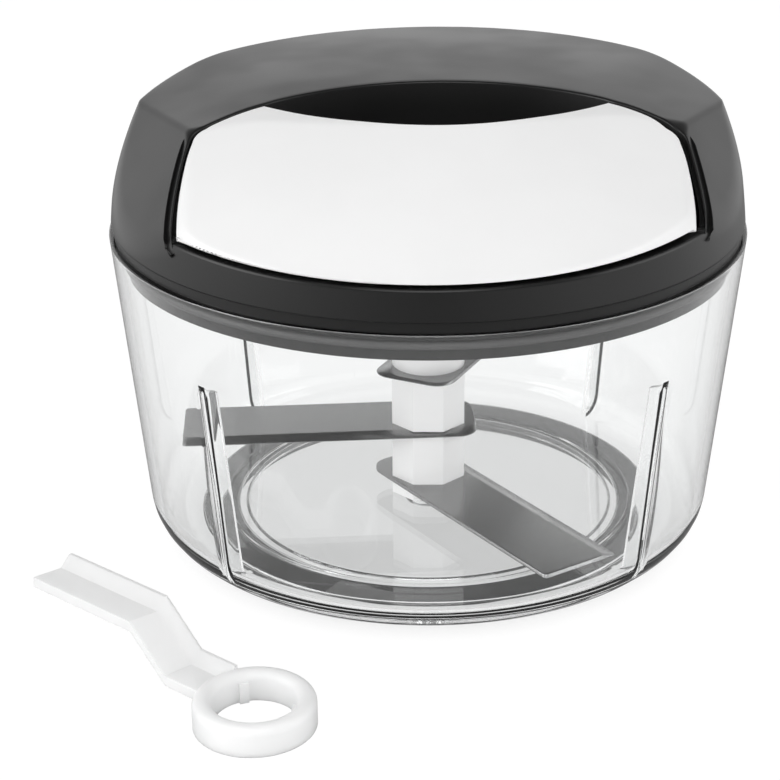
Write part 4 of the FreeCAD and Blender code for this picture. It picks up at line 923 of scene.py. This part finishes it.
def rounded(corners, steps=6):
    """Section through corners given as radius, height and round, which is how far the arc starts
    from its corner. A point just past each arc keeps flat stretches from taking on its shading."""
    points = [corners[0][:2]]
    for before, here, after in zip(corners, corners[1:], corners[2:]):
        corner = np.array(here[:2], float)
        back, ahead = np.array(before[:2]) - corner, np.array(after[:2]) - corner
        reach = min(here[2], np.linalg.norm(back) * SIDE_SHARE, np.linalg.norm(ahead) * SIDE_SHARE)
        if reach <= 0:
            points.append(here[:2])
            continue
        meet = float(unit(back) @ unit(ahead))
        centre = corner + (unit(back) + unit(ahead)) * reach / (1 + meet)
        start, end = corner + unit(back) * reach - centre, corner + unit(ahead) * reach - centre
        angle = math.pi - math.acos(meet)
        t = np.linspace(0, 1, steps)[:, None]
        curve = centre + (np.sin((1 - t) * angle) * start + np.sin(t * angle) * end) / math.sin(angle)
        if np.linalg.norm(back) > 3 * reach + 1:
            curve = np.concatenate([[corner + unit(back) * (reach + SUPPORT)], curve])
        if np.linalg.norm(ahead) > 3 * reach + 1:
            curve = np.concatenate([curve, [corner + unit(ahead) * (reach + SUPPORT)]])
        points.extend(curve.tolist())
    points.append(corners[-1][:2])
    return np.array(points)


def turned(section, turns):
    """Rows of points from a section of radius and height, turned by these angles."""
    radius = section[:, :1]
    height = np.broadcast_to(section[:, 1:], (len(section), len(turns)))
    return np.stack([radius * np.cos(turns), radius * np.sin(turns), height], -1)


print("bowl wall leans", round(math.degrees(LEAN), 2), "degrees")

# %% Bowl
RIB_RADIUS = 66.0                   # turns the ribs' offsets into angles
RIB_EDGE, RIB_LEAN = 64.6, 0.119    # radius of a rib's inner edge at the floor, and its growth with height
RIB_CLOSE = 2.4                     # growth above the rib's top, where it runs back into the wall
RIB_ROOM, BETWEEN_RIBS = 2.4, 44
FLOOR_Z, DISC_Z, BOSS_Z = 6.6, 7.4, 9.2
UNDER_Z, CHANNEL_Z = 5.0, 4.4
PIN_HOLE, PIN_DEEP = 2.6, 3.55

near = np.array(RIB_OFFSETS) / RIB_RADIUS
wide = np.linspace(RIB_ROOM / RIB_RADIUS, math.pi / 2 - RIB_ROOM / RIB_RADIUS, BETWEEN_RIBS)
turns = np.concatenate([math.radians(turn) + np.concatenate([near, wide]) for turn in RIB_TURNS])
rib_share = np.tile(np.concatenate([RIB_SHARES, np.zeros(BETWEEN_RIBS)]), len(RIB_TURNS))

outside = rounded([(0, 3.0, 0), (6, 3.0, 0.4), (6, UNDER_Z, 0.4), (47.6, UNDER_Z, 0.4), (47.6, 2.6, 0.4),
                   (49.8, 2.6, 0.4), (49.8, CHANNEL_Z, 0.3), (59.0, CHANNEL_Z, 0.3), (59.0, 2.0, 0.4),
                   (bowl_radius(2.0), 2.0, 9.8), (RIM_RADIUS, RIM_Z, 0.6),
                   (bowl_radius(RIM_Z, BOWL_WALL), RIM_Z, 0.6)], 8)
wall_heights = (RIM_Z - 1, RIB_HOOK + 0.1, RIB_HOOK, 58.6, 57.8, RIB_TOP, 30.0)
inside = rounded([(bowl_radius(z, BOWL_WALL), z, 0) for z in wall_heights]
                 + [(bowl_radius(FLOOR_Z, BOWL_WALL), FLOOR_Z, 5.45), (53.0, FLOOR_Z, 0.3),
                    (52.6, DISC_Z, 0.4), (5.0, DISC_Z, 0.3), (5.0, BOSS_Z, 0.3),
                    (PIN_HOLE, BOSS_Z, 0.1), (PIN_HOLE, PIN_DEEP, 0.1), (0, PIN_DEEP, 0)], 8)
skin_in = turned(inside, turns)
height = skin_in[..., 2]
rib_edge = RIB_EDGE + RIB_LEAN * (height - FLOOR_Z) + np.clip(height - RIB_TOP, 0, 9) * RIB_CLOSE
reach = np.hypot(skin_in[..., 0], skin_in[..., 1])
drawn = reach - np.where(height <= RIB_HOOK, np.maximum(reach - rib_edge, 0), 0) * rib_share
skin_in[..., :2] *= (drawn / np.maximum(reach, 1e-6))[..., None]
bowl_grid = np.concatenate([turned(outside, turns), skin_in])
build("bowl_skin", bowl_grid, grid_faces(*bowl_grid.shape[:2]), CLEAR, "bowl", "clear_plastic", "bowl",
      sharp=38)

# %% Foot ring
RING_INNER, RING_MIDDLE, RING_OUTER = 50.0, 54.0, 58.8
RING_TOP = 4.3
RING_COLUMNS = 240

ring_section = rounded([(RING_MIDDLE, 0, 0), (RING_OUTER, 0.0, 0.7), (RING_OUTER, RING_TOP, 0.5),
                        (RING_INNER, RING_TOP, 0.5), (RING_INNER, 0.0, 0.7), (RING_MIDDLE, 0, 0)])
ring_grid = turned(ring_section, np.linspace(0, 2 * math.pi, RING_COLUMNS + 1)[:-1])
build("foot_ring_skin", ring_grid, grid_faces(*ring_grid.shape[:2]), FOOT_RUBBER, "bowl", "soft_foot",
      "foot_ring", sharp=38)

# %% [markdown]
# ## Blades
# Each wing is a strip of steel, ground to an edge on the side that leads. The outline is drawn once as
# a ring of points with small round corners, and the rows of the grid are that ring at the underside,
# at the ground edge, at the top of the grinding and at the top face.

# %% Blades
BLADES = {"lower_blade": (11.6, 305), "middle_blade": (26.6, 185), "upper_blade": (42.2, 65)}
BLADE_HALF, BLADE_REACH, BLADE_BACK = 10.75, 63.3, 12.0
BLADE_THICK, BLADE_GRIND, BLADE_KEEN = 1.0, 3.5, 0.15
BLADE_MIDDLE = np.array((26.0, 0.0))
TIP_ROUND, BACK_ROUND = 1.2, 5.0


def blade_ring(half, steps=7):
    """Outline of a wing from above, anticlockwise, with its front edge at half: four quarter rounds,
    joined by straight edges."""
    tip, back = BLADE_REACH - TIP_ROUND, BACK_ROUND - BLADE_BACK
    centres = ((tip, TIP_ROUND - BLADE_HALF, TIP_ROUND, -90), (tip, half - TIP_ROUND, TIP_ROUND, 0),
               (back, half - BACK_ROUND, BACK_ROUND, 90), (back, BACK_ROUND - BLADE_HALF, BACK_ROUND, 180))
    turn = np.radians(np.linspace(0, 90, steps))
    return np.concatenate([np.stack([x + r * np.cos(turn + math.radians(a)),
                                     y + r * np.sin(turn + math.radians(a))], -1)
                           for x, y, r, a in centres])


def blade_grid():
    """Rows from the middle of the underside to the middle of the top. Each is a ring, shrunk to a
    share of its size about the blade's middle, at its height."""
    full, top = blade_ring(BLADE_HALF), blade_ring(BLADE_HALF - BLADE_GRIND)
    ground = top + (full - top) * 0.03
    rows = [(full, 0, 0), (full, 0.985, 0), (full, 1, 0.02), (full, 1, BLADE_KEEN),
            (full, 0.997, BLADE_KEEN + 0.05), (ground, 1, BLADE_THICK - 0.03),
            (top, 0.995, BLADE_THICK), (top, 0.97, BLADE_THICK), (top, 0, BLADE_THICK)]
    return np.stack([np.concatenate([BLADE_MIDDLE + (ring - BLADE_MIDDLE) * share,
                                     np.full((len(ring), 1), z)], -1) for ring, share, z in rows])


wing = blade_grid()
for name, (height, azimuth) in BLADES.items():
    turn = math.radians(azimuth)
    x, y = wing[..., 0], wing[..., 1]
    placed = np.stack([x * math.cos(turn) - y * math.sin(turn), x * math.sin(turn) + y * math.cos(turn),
                       wing[..., 2] + height], -1)
    build(name + "_ground", placed, grid_faces(*wing.shape[:2]), BLADE_STEEL,
          "blade_insert", "blade_steel", name)

# %% [markdown]
# ## Cord
# The braided cord leaves the drum, bends round inside the lid, runs through a steel eyelet and ends in
# a knot in the handle. When the handle is drawn out, more cord comes off the drum. A solid piece can't
# grow. Here the cord is one tube, laid from its last turn on the drum round the bend to the knot, and
# it stays on no body.

# %% Cord
CORD_HALF, CORD_Z = 1.25, 95.25
WINDING_RADIUS, LAST_TURN = 19.35, 160
BEND_Y, BEND_REACH = -30.0, 2.7
EYELET_Y, KNOT_Y = -36.0, -53.75
LAP_STEPS, RUN_STEPS, ROUND_STEPS = 60, 240, 16

leave = math.radians(270) - math.acos(WINDING_RADIUS / -BEND_Y)
lap = np.linspace(leave - math.radians(LAST_TURN), leave, LAP_STEPS)
lap = WINDING_RADIUS * np.stack([np.cos(lap), np.sin(lap)], -1)
bend = rounded([(*lap[-1], 0), (0, BEND_Y, BEND_REACH), (0, KNOT_Y, 0)], 12)[1:-1]
run = np.stack([np.zeros(RUN_STEPS), np.linspace(bend[-1, 1], KNOT_Y, RUN_STEPS + 1)[1:]], -1)
line = np.concatenate([lap, bend, run])
ahead = unit(np.gradient(line, axis=0))
beside = np.stack([ahead[:, 1], -ahead[:, 0]], -1)
turns = np.linspace(0, 2 * math.pi, ROUND_STEPS + 1)[:-1]
plan = line[:, None] + CORD_HALF * np.cos(turns)[None, :, None] * beside[:, None]
height = np.broadcast_to(CORD_Z + CORD_HALF * np.sin(turns), plan.shape[:2])
tube = np.concatenate([plan, height[..., None]], -1)
ends = tube.mean(1, keepdims=True).repeat(len(turns), 1)
tube = np.concatenate([ends[:1], tube, ends[-1:]])
cord = build("cord_run", tube, grid_faces(*tube.shape[:2])[:, ::-1], CORD_FINISH, None, "cord", "pull_cord")
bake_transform(cord)

# %% [markdown]
# ## Stirring arm
# The arm's faces are right as they come from the engineering model, but a moulded part has no knife
# edges. A bevel on a copy rounds every edge that turns sharply.

# %% Softened copy
def softened(node, radius, finish, body):
    """Copy of a CAD piece with its points merged and its sharp edges rounded."""
    source = frame["nodes"][node]
    mesh = source.data.copy()
    mesh.transform(source.matrix_world)
    work = bmesh.new()
    work.from_mesh(mesh)
    bmesh.ops.remove_doubles(work, verts=work.verts, dist=MERGE)
    bmesh.ops.dissolve_limit(work, angle_limit=math.radians(0.5), verts=work.verts, edges=work.edges)
    work.to_mesh(mesh)
    work.free()
    mesh.name = node + "_soft"
    piece = bpy.data.objects.new(node + "_soft", mesh)
    bpy.context.scene.collection.objects.link(piece)
    mesh.materials.clear()
    mesh.materials.append(finish)
    mesh.shade_smooth()
    mesh.set_sharp_from_angle(angle=math.radians(50))
    bevel = piece.modifiers.new("edges", "BEVEL")
    bevel.width = radius * MM
    bevel.segments = 3
    bevel.limit_method = "ANGLE"
    bevel.angle_limit = math.radians(40)
    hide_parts(node)
    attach(piece, body)
    print(piece.name, len(mesh.polygons), "faces before the bevel")


softened("stirring_arm", 0.45, ARM_PLASTIC, "stirring_arm")
